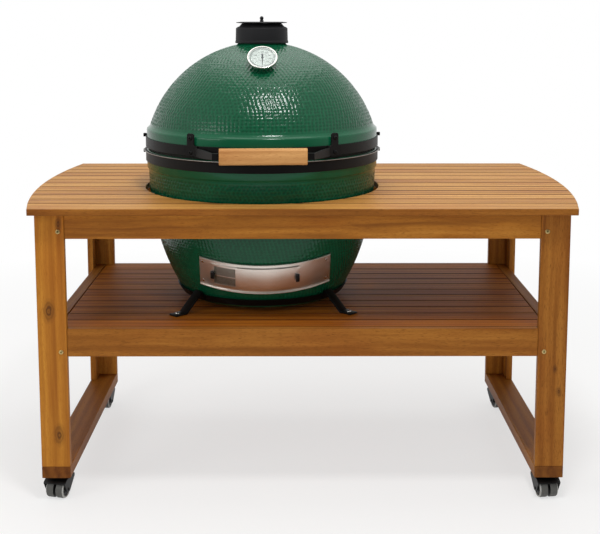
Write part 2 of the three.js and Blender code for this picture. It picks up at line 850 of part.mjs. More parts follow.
function addHandle() {
  const bandMiddle = domeBottom + bandSetback + bandHeight / 2;
  const barY = -(bandOuter + handleReach);
  const barZ = bandMiddle - handleDrop;
  const [y0, y1] = [barY - handleDepth / 2, barY + handleDepth / 2];
  const [z0, z1] = [barZ - handleHeight / 2, barZ + handleHeight / 2];
  const c = handleChamfer;
  const section = [
    [y0 + c, z0], [y1 - c, z0], [y1, z0 + c], [y1, z1 - c],
    [y1 - c, z1], [y0 + c, z1], [y0, z1 - c], [y0, z0 + c],
  ];
  part('handle_bar', sideways(section, -handleLength / 2, handleLength / 2), handleWood, kamado);

  const angle = THREE.MathUtils.degToRad(handleFootAngle);
  const plateNear = bandOuter + seatGap;
  const footRadius = plateNear + handlePlate / 2;
  const bandLow = domeBottom + bandSetback;
  for (const [side, sign] of [['left', -1], ['right', 1]]) {
    const turn = (geometry) => geometry.rotateZ(sign * angle);
    const plate = (width, height) =>
      block(-width / 2, width / 2, -plateNear - handlePlate, -plateNear, bandLow, bandLow + height, turn);
    const foot = plate(handleFootWidth, bandHeight);
    const clip = plate(handleClipWidth, bandHeight + handleClipRise);
    const inward = handleFootWidth / 2 - handlePlate;
    const root = [
      sign * (footRadius * Math.sin(angle) - inward * Math.cos(angle)),
      -footRadius * Math.cos(angle) - inward * Math.sin(angle),
    ];
    const barEnd = handleLength / 2 + seatGap;
    const knee = [sign * (barEnd + handleTongueLength), barY];
    const arm = raised(strapOutline([root, knee], handlePlate), barZ - handleArmHeight / 2,
      barZ + handleArmHeight / 2);
    const tongueEnds = [sign * barEnd, knee[0] + (sign * handlePlate) / 2];
    const [x0, x1] = [Math.min(...tongueEnds), Math.max(...tongueEnds)];
    const tongue = block(x0, x1, barY - handlePlate, barY + handlePlate, barZ - handleTongue / 2,
      barZ + handleTongue / 2);
    part(`handle_bracket_${side}`, joined(foot, clip, arm, tongue), blackSteel, kamado);
  }
}

// The thermometer: dial case with its probe through the dome, needle and glass, on an axis that leans back
function addThermometer() {
  const dial = new THREE.Group();
  const dialReach = domeRadius + dialStandoff;
  const elevation = THREE.MathUtils.degToRad(dialElevation);
  dial.position.set(0, -dialReach * Math.cos(elevation), domeCentre + dialReach * Math.sin(elevation));
  dial.rotation.x = Math.PI / 2 - THREE.MathUtils.degToRad(dialTilt);
  kamado.add(dial);
  const collarTop = -dialCaseDepth;
  const glassRadius = dialRadius - dialBezel;
  const faceZ = -needleThickness - 2 * seatGap;
  part(
    'thermometer_case',
    turned(
      [
        [0, -stemLength],
        [stemRadius, -stemLength],
        [stemRadius, collarTop - collarLength],
        [collarRadius, collarTop - collarLength],
        [collarRadius, collarTop],
        [dialBackRadius, collarTop],
        [dialRadius, collarTop / 2],
        [dialRadius, lensThickness + seatGap],
        [glassRadius, lensThickness + seatGap],
        [glassRadius, faceZ],
        [0, faceZ],
      ],
      dialSteps,
    ),
    dialWhite,
    dial,
  );

  const needle = raised(
    [
      [-needleWidth / 2, 0], [-needleWidth / 4, -needleLength], [needleWidth / 4, -needleLength],
      [needleWidth / 2, 0], [needleTailWidth / 2, needleTail], [-needleTailWidth / 2, needleTail],
    ],
    faceZ + seatGap,
    faceZ + seatGap + needleThickness,
  );
  const hub = disc(needleHub, faceZ + seatGap, faceZ + seatGap + needleThickness, smallSteps);
  part('thermometer_needle', needle.add(hub), needleBlack, dial);
  part('thermometer_lens', disc(glassRadius - seatGap, seatGap, lensThickness, dialSteps), lensGlass, dial);

  dial.updateMatrix();
  const holeRadius = stemRadius + stemHoleClearance;
  return disc(holeRadius, -stemLength, 0, smallSteps, (geometry) => geometry.applyMatrix4(dial.matrix));
}

// The chimney cap: a hollow casting over the neck, a damper disc that turns on it, and its knob
function ventHoles(low, high, turn) {
  return Array.from({ length: damperHoleCount }, (_, i) => {
    const angle = turn + (2 * Math.PI * i) / damperHoleCount;
    return disc(damperHoleRadius, low, high, smallSteps, (geometry) =>
      geometry.translate(damperHolePitch * Math.cos(angle), damperHolePitch * Math.sin(angle), 0),
    );
  });
}

function cutBy(solid, cutters) {
  return cutters.reduce((rest, cutter) => rest.subtract(cutter), solid);
}

function addCap() {
  const ceiling = neckTop + seatGap;
  const capBottom = ceiling - capSkirt;
  const shoulder = capBottom + capHeight;
  const capTop = shoulder + capShoulderRise + capCollarHeight;
  const capInner = neckRadius + capClearance;
  const body = turned([
    [0, capTop - capPlate],
    [neckBore, capTop - capPlate],
    [neckBore, ceiling],
    [capInner, ceiling],
    [capInner, capBottom],
    [capRadius, capBottom],
    [capTopRadius, shoulder],
    [capShoulder, shoulder + capShoulderRise],
    [capCollarFoot, shoulder + capShoulderRise],
    [capCollarTop, capTop],
    [0, capTop],
  ], capSteps);
  const pinHole = disc(knobPin + seatGap, capTop - knobPinDepth - seatGap, capTop + cutOverrun, smallSteps);
  const closedTurn = Math.PI / damperHoleCount;
  const bodyHoles = ventHoles(capTop - capPlate - cutOverrun, capTop + cutOverrun, closedTurn);
  part('cap_body', cutBy(body, [pinHole, ...bodyHoles]), castIron, kamado);

  const discLow = capTop + seatGap;
  const discTop = discLow + damperThickness;
  const damper = turned([
    [knobPin + seatGap, discLow],
    [capCollarTop, discLow],
    [damperRadius, discLow + damperThickness / 3],
    [damperRadius, discTop - damperThickness / 3],
    [capCollarTop, discTop],
    [knobPin + seatGap, discTop],
    [knobPin + seatGap, discLow],
  ], capSteps);
  const discHoles = ventHoles(discLow - cutOverrun, discTop + cutOverrun, 0);
  part('damper_disc', cutBy(damper, discHoles), castIron, kamado);

  const knobFoot = discTop + seatGap;
  part(
    'damper_knob',
    turned(
      [
        [0, capTop - knobPinDepth],
        [knobPin, capTop - knobPinDepth],
        [knobPin, knobFoot],
        [knobRadius, knobFoot],
        [knobRadius, knobFoot + knobHeight * knobShoulderShare],
        [knobRadius / 2, knobFoot + knobHeight * knobTipShare],
        [0, knobFoot + knobHeight],
      ],
      smallSteps,
    ),
    castIron,
    kamado,
  );
}

function addKamadoLid() {
  const stemHole = addThermometer();
  part('dome_shell', domeShellSolid(stemHole), glazedCeramic, kamado);
  const gasketOuter = rimRadius - gasketInset;
  part('upper_gasket', ring(gasketOuter - gasketWidth, gasketOuter, upperGasketFoot,
    upperGasketFoot + gasketThickness), feltBlack, kamado);

  const bandLow = domeBottom + bandSetback;
  const bandTop = bandLow + bandHeight;
  part('upper_band', joined(ring(bandInner, bandOuter, bandLow, bandTop), ...bandLug(bandTop - lugSize / 2)),
    blackSteel, kamado);

  const earRoot = bandOuter + hingeBlockDepth - hingeEar / 2;
  const upperEar = [
    [earRoot, bandTop],
    [earRoot, bandLow],
    [hingeY - hingeEarRadius / 2, hingeZ - hingeEarRadius],
    [hingeY + hingeEarRadius / 2, hingeZ - hingeEarRadius],
    [hingeY + hingeEarRadius, hingeZ],
    [hingeY + hingeEarRadius / 2, hingeZ + hingeEarRadius],
  ];
  const spread = lowerEarSpread - hingeEar - earGap;
  part('upper_hinge_bracket', hingeBracket(bandLow, bandTop, upperEar, spread), blackSteel, kamado);
  addHandle();
  addCap();
}

// What the base holds: firebox, charcoal grate, fire ring and cooking grid
function bars(count, pitch, radius, width, low, high, place) {
  return Array.from({ length: count }, (_, i) => {
    const x = (i - (count - 1) / 2) * pitch;
    const half = Math.sqrt(radius ** 2 - x ** 2);
    return block(x - width / 2, x + width / 2, -half, half, low, high, place);
  });
}

function addFireParts() {
  const foot = baseBottom + baseFloor + seatGap;
  const top = foot + fireboxTopHeight;
  const waist = foot + fireboxWaistHeight;
  const ledge = foot + grateLedge;
  const wallAt = (height) => radiusOnRun(hollowLevels, hollowRadius, height) - fireClearance;
  const [footRadius, waistRadius, topRadius] = [foot, waist, top].map(wallAt);
  const ledgeShare = (ledge - waist) / (top - waist);
  const ledgeRadius = waistRadius + (topRadius - waistRadius) * ledgeShare - fireboxWall;
  const bore = footRadius - fireboxSole;
  const firebox = turned([
    [bore, foot],
    [footRadius, foot],
    [waistRadius, waist],
    [topRadius, top],
    [topRadius - fireboxWall, top],
    [ledgeRadius, ledge],
    [bore, ledge],
    [bore, foot],
  ], innerSteps);
  const ashDoor = block(-ashDoorWidth / 2, ashDoorWidth / 2, -topRadius, 0, foot - cutOverrun,
    foot + ashDoorHeight);
  part('firebox', firebox.subtract(ashDoor), fireClay, kamado);

  const grateLow = ledge + seatGap;
  const grateRadius = ledgeRadius - grateClearance;
  const slotReach = grateRadius - grateRim;
  const slots = bars(Math.floor((2 * slotReach) / grateSlotPitch), grateSlotPitch, slotReach, grateSlot,
    grateLow - cutOverrun, grateLow + cutOverrun);
  const grate = disc(grateRadius, grateLow, grateLow + grateThickness, innerSteps);
  part('charcoal_grate', cutBy(grate, slots), castIron, kamado);

  const ringLow = top + seatGap;
  const ringTop = ringLow + fireRingHeight;
  const fireRingRadius = topRadius + fireRingOverhang;
  const fireRing = ring(fireRingRadius - fireRingWall, fireRingRadius, ringLow, ringTop, innerSteps);
  part('fire_ring', fireRing, fireClay, kamado);

  const gridLow = ringTop + seatGap;
  const gridRadius = fireRingRadius - gridInset;
  const gridInner = gridRadius - gridRim;
  const barCount = Math.floor((2 * gridInner) / gridPitch);
  const barsHigh = bars(barCount, gridPitch, gridInner + gridRim / 2, gridBar, gridLow + gridRim - gridBar,
    gridLow + gridRim);
  const braceReach = gridInner + gridRim / 2;
  const braces = bars(gridBraces, gridInner, braceReach, gridBar, gridLow, gridLow + gridBar, (geometry) =>
    geometry.rotateZ(Math.PI / 2),
  );
  const rim = ring(gridInner, gridRadius, gridLow, gridLow + gridRim, innerSteps);
  part('cooking_grid', joined(rim, ...barsHigh, ...braces), stainless, kamado);
}

// The draft door: a curved plate with a window, and a screen and a solid door that slide round the base
function addDraftDoor() {
  const low = draftHeightZ - plateHeight;
  const high = draftHeightZ + plateHeight;
  const plateFar = seatGap + plateThickness;
  const front = frontOf(plateLeft, plateRight);
  const plate = skin(seatGap, plateFar, low, high).intersect(strip(plateHeight)).intersect(front);
  const lips = skin(seatGap, plateLip, low, high)
    .intersect(strip(plateHeight))
    .subtract(strip(plateHeight - 2 * plateLipWidth))
    .intersect(front);
  const windowLeft = draftLeft - plateWindowMargin;
  const window = strip(draftHeight).intersect(frontOf(windowLeft, draftRight + plateWindowMargin));
  part('draft_frame', plate.subtract(window).add(lips), stainless, kamado);

  const meshNear = plateFar + doorGap;
  const meshFar = meshNear + doorThickness;
  const paneHeight = (doorHeight - 2 * meshDoorFrame - meshDoorFrame / 2) / 2;
  const paneLift = (paneHeight + meshDoorFrame / 2) / 2;
  const meshDoorLeft = windowLeft - doorTab;
  const columns = [
    [windowLeft, meshDoorBar - meshDoorFrame / 2],
    [meshDoorBar + meshDoorFrame / 2, meshDoorRight - meshDoorFrame],
  ];
  const panes = [paneLift, -paneLift].flatMap((lift) =>
    columns.map(([left, right]) => strip(paneHeight, lift).intersect(frontOf(left, right))),
  );
  const meshDoor = skin(meshNear, meshFar, low, high)
    .intersect(strip(doorHeight))
    .intersect(frontOf(meshDoorLeft, meshDoorRight));
  const meshTab = skin(meshNear, meshFar + doorTabReach, low, high)
    .intersect(strip(doorTabHeight))
    .intersect(frontOf(meshDoorLeft, windowLeft));
  part('draft_screen_door', cutBy(meshDoor, panes).add(meshTab), stainless, kamado);

  const solidNear = meshFar + doorGap;
  const solidFar = solidNear + doorThickness;
  const solidDoor = skin(solidNear, solidFar, low, high)
    .intersect(strip(doorHeight))
    .intersect(frontOf(solidDoorLeft, solidDoorRight));
  const solidTab = skin(solidNear, solidFar + doorTabReach, low, high)
    .intersect(strip(doorTabHeight))
    .intersect(frontOf(solidDoorRight - doorTab, solidDoorRight));
  part('draft_solid_door', solidDoor.add(solidTab), stainless, kamado);
}

// The nest: a band round the foot of the base and four straps bent down to the shelf
function addNest() {
  const bandLow = baseBottom + nestBandLow;
  const bandHigh = baseBottom + nestBandHigh;
  const band = skin(seatGap, seatGap + nestPlate, bandLow, bandHigh);
  const half = nestPlate / 2;
  const footZ = shelfHeight + half;
  const shoulderZ = shelfHeight + nestRise;
  const bandMiddle = (bandLow + bandHigh) / 2;
  const line = [
    [nestFootRadius, footZ],
    [nestFootRadius - nestFootLength, footZ],
    [eggRadius(shoulderZ) + nestShoulderClearance, shoulderZ],
    [eggRadius(bandMiddle) + nestPlate, bandMiddle],
  ];
  const straps = Array.from({ length: nestLegCount }, (_, i) => {
    const angle = (2 * Math.PI * (i + 0.5)) / nestLegCount;
    return sideways(strapOutline(line, nestPlate), -nestStrap / 2, nestStrap / 2, (geometry) =>
      geometry.rotateZ(angle - Math.PI / 2),
    );
  });
  part('nest', joined(band, ...straps), blackSteel, kamado);
}

addTableTop();
addLegs();
addFrame();
addShelf();
addCasters();
addKamadoBase();
addFireParts();
addDraftDoor();
addNest();
addKamadoLid();

export default model;
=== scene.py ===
import json
import math
import random

import bmesh
import bpy
from mathutils import Matrix, Vector, noise


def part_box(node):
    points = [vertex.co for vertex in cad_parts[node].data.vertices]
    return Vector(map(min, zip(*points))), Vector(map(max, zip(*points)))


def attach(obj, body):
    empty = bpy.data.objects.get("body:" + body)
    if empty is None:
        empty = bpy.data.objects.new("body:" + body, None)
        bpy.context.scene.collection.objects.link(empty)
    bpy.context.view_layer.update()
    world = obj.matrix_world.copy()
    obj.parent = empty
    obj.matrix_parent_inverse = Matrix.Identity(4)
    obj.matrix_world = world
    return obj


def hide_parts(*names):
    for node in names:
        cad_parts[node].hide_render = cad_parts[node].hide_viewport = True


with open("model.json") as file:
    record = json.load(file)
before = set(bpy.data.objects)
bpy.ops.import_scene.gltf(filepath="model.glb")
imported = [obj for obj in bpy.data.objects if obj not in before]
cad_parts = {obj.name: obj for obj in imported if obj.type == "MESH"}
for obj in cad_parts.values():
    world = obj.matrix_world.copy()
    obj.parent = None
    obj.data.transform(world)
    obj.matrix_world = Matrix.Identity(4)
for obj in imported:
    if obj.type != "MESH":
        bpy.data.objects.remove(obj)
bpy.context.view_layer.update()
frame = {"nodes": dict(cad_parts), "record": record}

# The camera of the photograph: where it stands, how far it looks down, and its focal length in pixels
PHOTO_WIDTH = 600
CAMERA_PLACE = (-0.0162, -3.1263, 1.2880)
CAMERA_PITCH = 0.1286
CAMERA_YAW = 0.0033
FOCAL_PIXELS = 1073.6
SHIFT_PIXELS = -112
SENSOR_WIDTH = 36

camera_data = bpy.data.cameras.new("camera")
camera_data.sensor_fit = "HORIZONTAL"
camera_data.sensor_width = SENSOR_WIDTH
camera_data.lens = FOCAL_PIXELS / PHOTO_WIDTH * SENSOR_WIDTH
camera_data.shift_y = SHIFT_PIXELS / PHOTO_WIDTH
camera = bpy.data.objects.new("camera", camera_data)
camera.location = CAMERA_PLACE
camera.rotation_euler = (math.pi / 2 - CAMERA_PITCH, 0, -CAMERA_YAW)
bpy.context.scene.collection.objects.link(camera)
bpy.context.scene.camera = camera
bpy.context.scene.view_settings.view_transform = "Standard"

# Sizes of the kamado that the frame's boxes don't give, in metres
KAMADO_TURN = math.radians(2.2)
EGG_RADIUS = 0.328
EGG_DROP = 0.504
RIM_RADIUS = 0.3325
RIM_WALL = 0.030
BASE_CORNER = 0.026
BASE_WALL = 0.027
BASE_FLOOR = 0.030
BASE_RIM_HEIGHT = 0.0555
BAND_INNER = 0.3328
BAND_OUTER = 0.3358
DOME_RADIUS = 0.339
DOME_CENTRE_DROP = 0.0424
DOME_WALL = 0.025
DOME_RIM_HEIGHT = 0.056
NECK_RADIUS = 0.0675
NECK_BORE = 0.050
DRAFT_RISE = 0.095
DRAFT_TILT = math.radians(17.5)
SEAT_GAP = 0.0003

low_base, high_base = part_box("base_shell")
low_dome, high_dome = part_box("dome_shell")
KAMADO_X = (low_base.x + high_base.x) / 2
KAMADO_Y = (low_base.y + high_base.y) / 2
BASE_BOTTOM = low_base.z
BASE_TOP = high_base.z
RIM_FOOT = BASE_TOP - BASE_RIM_HEIGHT
DOME_BOTTOM = low_dome.z
NECK_TOP = high_dome.z
DOME_CENTRE = DOME_BOTTOM - DOME_CENTRE_DROP
DRAFT_Z = BASE_BOTTOM + DRAFT_RISE
KAMADO = Matrix.Translation((KAMADO_X, KAMADO_Y, 0)) @ Matrix.Rotation(KAMADO_TURN, 4, "Z")
MAIN_BODY = "table_and_base"


# Materials
def linear(hex_colour):
    """An sRGB hex colour as linear RGBA."""
    channels = [int(hex_colour[i : i + 2], 16) / 255 for i in (0, 2, 4)]
    return (*[c / 12.92 if c <= 0.04045 else ((c + 0.055) / 1.055) ** 2.4 for c in channels], 1.0)


def add(tree, kind, links=None, stops=None, **settings):
    """Adds a shader node with its settings, its colour stops, and a value or a link for each named input."""
    node = tree.nodes.new("ShaderNode" + kind)
    for name, value in settings.items():
        setattr(node, name, value)
    if stops:
        ramp = node.color_ramp
        while len(ramp.elements) < len(stops):
            ramp.elements.new(1.0)
        for element, (place, colour) in zip(ramp.elements, stops):
            element.position = place
            element.color = colour
    for name, source in (links or {}).items():
        if isinstance(source, bpy.types.NodeSocket):
            tree.links.new(source, node.inputs[name])
        else:
            node.inputs[name].default_value = source
    return node


def material(name):
    """A new material with its tree, its Principled shader, and its output joined up."""
    made = bpy.data.materials.new(name)
    made.use_nodes = True
    tree = made.node_tree
    tree.nodes.clear()
    shader = add(tree, "BsdfPrincipled")
    add(tree, "OutputMaterial", {"Surface": shader.outputs["BSDF"]})
    return made, tree, shader


def grey(value):
    """A neutral linear colour."""
    return (value, value, value, 1.0)


# How much of the wood's figure is growth rings, how far boards differ, and the tints of its blushes and knots
RING_SHARE = 0.2
TONE_SPREAD = 0.28
BLUSH = "d09a62"
KNOT = "452510"
WOOD_IOR = 1.45
WOOD_SHINE = 0.16


def oiled_wood(name, dark, middle, light, roughness, knots=()):
    """Oiled acacia, planed along the grain: long streaks, fine pores and a different tone on each board."""
    made, tree, shader = material(name)
    grain = add(tree, "Attribute", attribute_name="grain").outputs["Vector"]
    tone = add(tree, "Attribute", attribute_name="tone").outputs["Fac"]
    # Slow bends of the grain, about 300 mm long, so that no streak runs quite straight
    bend_space = add(tree, "Mapping", {"Vector": grain, "Scale": (3.2, 9.0, 9.0)})
    bend = add(tree, "TexNoise", {"Vector": bend_space.outputs[0], "Scale": 1.0, "Detail": 2.0})
    bent = add(tree, "VectorMath", {0: bend.outputs["Color"], 1: (0.0, 0.022, 0.022)}, operation="MULTIPLY")
    path = add(tree, "VectorMath", {0: grain, 1: bent.outputs[0]}, operation="ADD").outputs[0]
    # Streaks 5 to 15 mm wide and a few hundred millimetres long
    streak_space = add(tree, "Mapping", {"Vector": path, "Scale": (2.0, 90.0, 60.0)})
    streaks = add(
        tree, "TexNoise", {"Vector": streak_space.outputs[0], "Scale": 1.0, "Detail": 5.0, "Roughness": 0.62},
    )
    # Growth rings, 9 mm apart where the board cuts them
    ring_space = add(tree, "Mapping", {"Vector": path, "Scale": (0.9, 11.0, 13.0)})
    rings = add(
        tree, "TexWave",
        {
            "Vector": ring_space.outputs[0], "Scale": 1.0, "Distortion": 9.0, "Detail": 3.0,
            "Detail Scale": 0.7,
        },
        wave_type="BANDS", bands_direction="Y",
    )
    # Pores: short dark dashes 15 mm long, drawn at 0.8 mm, wider than real ones so that they show
    pore_space = add(tree, "Mapping", {"Vector": path, "Scale": (65.0, 1200.0, 1200.0)})
    pores = add(tree, "TexNoise", {"Vector": pore_space.outputs[0], "Scale": 1.0, "Detail": 1.0})
    pore_mask = add(tree, "MapRange", {"Value": pores.outputs["Fac"], "From Min": 0.58, "From Max": 0.72})
    figure = add(tree, "Mix", {0: RING_SHARE, 2: streaks.outputs["Fac"], 3: rings.outputs["Fac"]})
    shifted = add(tree, "Math", {0: tone, 1: TONE_SPREAD, 2: figure.outputs[0]}, operation="MULTIPLY_ADD")
    colour = add(
        tree, "ValToRGB", {"Fac": shifted.outputs[0]},
        stops=[(0.22, linear(dark)), (0.5, linear(middle)), (0.76, linear(light))],
    ).outputs["Color"]
    colour = add(
        tree, "Mix", {0: pore_mask.outputs[0], 6: colour, 7: linear(dark)},
        data_type="RGBA", blend_type="MIX",
    ).outputs[2]
    # Broad blushes of redder wood, about 150 mm across
    blush_space = add(tree, "Mapping", {"Vector": grain, "Scale": (4.0, 16.0, 16.0)})
    blush = add(tree, "TexNoise", {"Vector": blush_space.outputs[0], "Scale": 1.0, "Detail": 1.0})
    blush_mask = add(
        tree, "MapRange", {"Value": blush.outputs["Fac"], "From Min": 0.45, "From Max": 0.75, "To Max": 0.35},
    )
    colour = add(
        tree, "Mix", {0: blush_mask.outputs[0], 6: colour, 7: linear(BLUSH)},
        data_type="RGBA", blend_type="MULTIPLY",
    ).outputs[2]
    place = add(tree, "TexCoord").outputs["Object"]
    for centre, radius in knots:
        # A knot: a dark eye with rings round it, drawn out along the grain
        away = add(tree, "VectorMath", {0: place, 1: centre}, operation="SUBTRACT")
        squeezed = add(tree, "VectorMath", {0: away.outputs[0], 1: (1.0, 0.4, 0.55)}, operation="MULTIPLY")
        wobble = add(tree, "TexNoise", {"Vector": place, "Scale": 70.0, "Detail": 2.0})
        span = add(tree, "VectorMath", {0: squeezed.outputs[0]}, operation="LENGTH")
        reach = add(
            tree, "Math", {0: wobble.outputs["Fac"], 1: radius * 0.6, 2: span.outputs["Value"]},
            operation="MULTIPLY_ADD",
        )
        eye_ends = {"From Min": radius * 0.7, "From Max": radius * 1.9, "To Min": 0.85, "To Max": 0.0}
        eye = add(tree, "MapRange", {"Value": reach.outputs[0], **eye_ends})
        ringed = add(tree, "Math", {0: reach.outputs[0], 1: math.tau / (radius * 0.55)}, operation="MULTIPLY")
        wave = add(tree, "Math", {0: ringed.outputs[0]}, operation="SINE")
        level = add(tree, "Math", {0: wave.outputs[0], 1: 0.22, 2: 0.78}, operation="MULTIPLY_ADD")
        mask = add(tree, "Math", {0: eye.outputs[0], 1: level.outputs[0]}, operation="MULTIPLY")
        colour = add(
            tree, "Mix", {0: mask.outputs[0], 6: colour, 7: linear(KNOT)}, data_type="RGBA", blend_type="MIX",
        ).outputs[2]
    tree.links.new(colour, shader.inputs["Base Color"])
    gloss = add(
        tree, "MapRange",
        {"Value": streaks.outputs["Fac"], "To Min": roughness - 0.08, "To Max": roughness + 0.1},
    )
    tree.links.new(gloss.outputs[0], shader.inputs["Roughness"])
    relief = add(
        tree, "Math", {0: pore_mask.outputs[0], 1: -0.7, 2: streaks.outputs["Fac"]}, operation="MULTIPLY_ADD",
    )
    bump = add(tree, "Bump", {"Height": relief.outputs[0], "Strength": 0.25, "Distance": 0.0006})
    tree.links.new(bump.outputs[0], shader.inputs["Normal"])
    shader.inputs["IOR"].default_value = WOOD_IOR
    shader.inputs["Specular IOR Level"].default_value = WOOD_SHINE
    return made


# Knots in the faces of the two front legs: where each is, and its radius
left_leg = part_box("leg_front_left")[0]
right_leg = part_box("leg_front_right")[0]
LEFT_KNOTS = [
    ((left_leg.x + 0.031, left_leg.y, 0.524), 0.0130),
    ((left_leg.x + 0.049, left_leg.y, 0.186), 0.0120),
    ((left_leg.x + 0.062, left_leg.y, 0.755), 0.0080),
]
RIGHT_KNOTS = [
    ((right_leg.x + 0.046, right_leg.y, 0.366), 0.0050),
    ((right_leg.x + 0.058, right_leg.y, 0.304), 0.0060),
]

# Acacia under oil has a soft sheen: honey on the top, redder on the frame and shelf, and dark where end
# grain drank the oil; the near black where slats face each other is painted shade in the gaps
top_wood = oiled_wood("oiled_acacia_top", "8a5925", "b07d3a", "c79756", 0.5)
# Painted shade for the gaps between slats: their facing sides and edge bevels nearly black
slat_gap_shade_wood = oiled_wood("acacia_slat_sides_painted_gap_shade", "241306", "3c210c", "553418", 0.65)
frame_wood = oiled_wood("oiled_acacia_frame", "7e4a16", "a86b24", "c28636", 0.5)
left_leg_wood = oiled_wood("oiled_acacia_left_leg", "93591a", "ae7226", "c48a35", 0.5, LEFT_KNOTS)
# The right leg's darker wood serves also as painted shade: on the shelf and bottom rails, and on the top's
# front and rear edges
right_leg_and_shade_wood = oiled_wood("oiled_acacia_right_leg_and_painted_shade", "673a0d", "855019", "9c6526", 0.5, RIGHT_KNOTS)
# The shelf's wood is darker than the frame's as painted shade, for the shade under the top
shelf_wood = oiled_wood("oiled_acacia_shelf_painted_shade", "743d0b", "965311", "ae6b1c", 0.55)
end_grain_wood = oiled_wood("oiled_acacia_end_grain", "4a270b", "643913", "7a4a1b", 0.6)
# Varnish leaves the handle's pale hardwood lighter and glossier than the boards
handle_wood = oiled_wood("varnished_handle_wood", "a3713f", "c08f58", "d5aa72", 0.4)
# The top's coats: its wood, painted shade in the gaps, and the darker right leg's wood as painted shade on
# its front and rear edges
TOP_WOODS = [top_wood, slat_gap_shade_wood, right_leg_and_shade_wood]


def glazed_ceramic(name, body, dimple_shade):
    """Emerald glaze over pressed clay: darker in the dimples with painted shade, and faintly rippled all
    over.
    """
    made, tree, shader = material(name)
    place = add(tree, "TexCoord").outputs["Object"]
    dip = add(tree, "Attribute", attribute_name="dip").outputs["Fac"]
    # The colour goes toward the near-black second colour with each dimple's depth: painted shade in the
    # hollows
    depth = add(tree, "Math", {0: dip, 1: 0.55}, operation="MULTIPLY")
    colour = add(
        tree, "Mix", {0: depth.outputs[0], 6: linear(body), 7: linear(dimple_shade)},
        data_type="RGBA", blend_type="MIX",
    ).outputs[2]
    # Slow drift of the glaze's depth, over about 200 mm
    drift = add(tree, "TexNoise", {"Vector": place, "Scale": 5.0, "Detail": 2.0})
    drift_level = add(tree, "MapRange", {"Value": drift.outputs["Fac"], "To Min": 0.84, "To Max": 1.16})
    shade = add(tree, "CombineColor", {i: drift_level.outputs[0] for i in range(3)})
    colour = add(
        tree, "Mix", {0: 1.0, 6: colour, 7: shade.outputs[0]}, data_type="RGBA", blend_type="MULTIPLY",
    ).outputs[2]
    tree.links.new(colour, shader.inputs["Base Color"])
    # Ripples 6 mm and 25 mm across, under a tenth of a millimetre deep
    fine = add(tree, "TexNoise", {"Vector": place, "Scale": 160.0, "Detail": 1.0})
    broad = add(tree, "TexNoise", {"Vector": place, "Scale": 40.0, "Detail": 1.0})
    waves = {0: broad.outputs["Fac"], 1: 2.0, 2: fine.outputs["Fac"]}
    ripple = add(tree, "Math", waves, operation="MULTIPLY_ADD")
    bump = add(tree, "Bump", {"Height": ripple.outputs[0], "Strength": 0.35, "Distance": 0.0004})
    tree.links.new(bump.outputs[0], shader.inputs["Normal"])
    gloss = add(tree, "MapRange", {"Value": broad.outputs["Fac"], "To Min": 0.13, "To Max": 0.24})
    tree.links.new(gloss.outputs[0], shader.inputs["Roughness"])
    shader.inputs["IOR"].default_value = 1.5
    shader.inputs["Specular IOR Level"].default_value = 0.26
    return made


# Emerald glaze: glassy, deep green, with painted shade near black in the dimples
glaze = glazed_ceramic("emerald_glaze", "0b4f33", "022414")


def metal(
    name, base, roughness, grain_scale=(1.0, 1.0, 1.0), spread=0.12, metallic=1.0, relief=0.15, fine=900.0,
    shine=0.5,
):
    """A metal or coat whose gloss varies with the marks of how it was worked: grain_scale draws them out."""
    made, tree, shader = material(name)
    place = add(tree, "TexCoord").outputs["Object"]
    space = add(tree, "Mapping", {"Vector": place, "Scale": grain_scale})
    marks = add(tree, "TexNoise", {"Vector": space.outputs[0], "Scale": fine, "Detail": 3.0})
    cloud = add(tree, "TexNoise", {"Vector": place, "Scale": 14.0, "Detail": 3.0})
    both = add(tree, "Mix", {0: 0.5, 2: marks.outputs["Fac"], 3: cloud.outputs["Fac"]})
    span = {"Value": both.outputs[0], "From Min": 0.3, "From Max": 0.7}
    half = spread / 2
    rough = add(tree, "MapRange", {**span, "To Min": roughness - half, "To Max": roughness + half})
    level = add(tree, "MapRange", {**span, "To Min": 0.86, "To Max": 1.1})
    shade = add(tree, "CombineColor", {i: level.outputs[0] for i in range(3)})
    colour = add(
        tree, "Mix", {0: 1.0, 6: linear(base), 7: shade.outputs[0]}, data_type="RGBA", blend_type="MULTIPLY",
    )
    tree.links.new(colour.outputs[2], shader.inputs["Base Color"])
    tree.links.new(rough.outputs[0], shader.inputs["Roughness"])
    bump = add(tree, "Bump", {"Height": marks.outputs["Fac"], "Strength": relief, "Distance": 0.0003})
    tree.links.new(bump.outputs[0], shader.inputs["Normal"])
    shader.inputs["Metallic"].default_value = metallic
    shader.inputs["Specular IOR Level"].default_value = shine
    return made


# Black powder coat on steel: a fine orange peel, satin
powder_coat = metal("black_powder_coat", "0c0b0b", 0.45, metallic=0.0, relief=0.3, fine=500.0, shine=0.14)
# Cast iron under heat-proof grey paint: coarse sand-cast skin, dull
cast_iron = metal("painted_cast_iron", "151517", 0.6, metallic=0.0, relief=0.6, fine=420.0, shine=0.2)
# Bare cast iron seasoned by the fire: brown-black and dull
raw_iron = metal("seasoned_cast_iron", "2c2a28", 0.6, metallic=0.6, relief=0.5, fine=420.0)
# Stainless sheet brushed along its length: streaks drawn out along X
brushed_steel = metal(
    "brushed_stainless", "efe9e2", 0.36, grain_scale=(0.03, 1.0, 1.0), spread=0.16, fine=1500.0,
)
# Polished stainless: bright and sharp, for rods, rivets and the dial's case
polished_steel = metal("polished_steel", "cfccc6", 0.2, spread=0.08, relief=0.05)
# The rolled lip of the lower band in grey steel: a painted highlight, a dim grey gleam along the lip
painted_lip_highlight = metal("painted_lip_highlight", "8f8c88", 0.38, spread=0.16, relief=0.1)
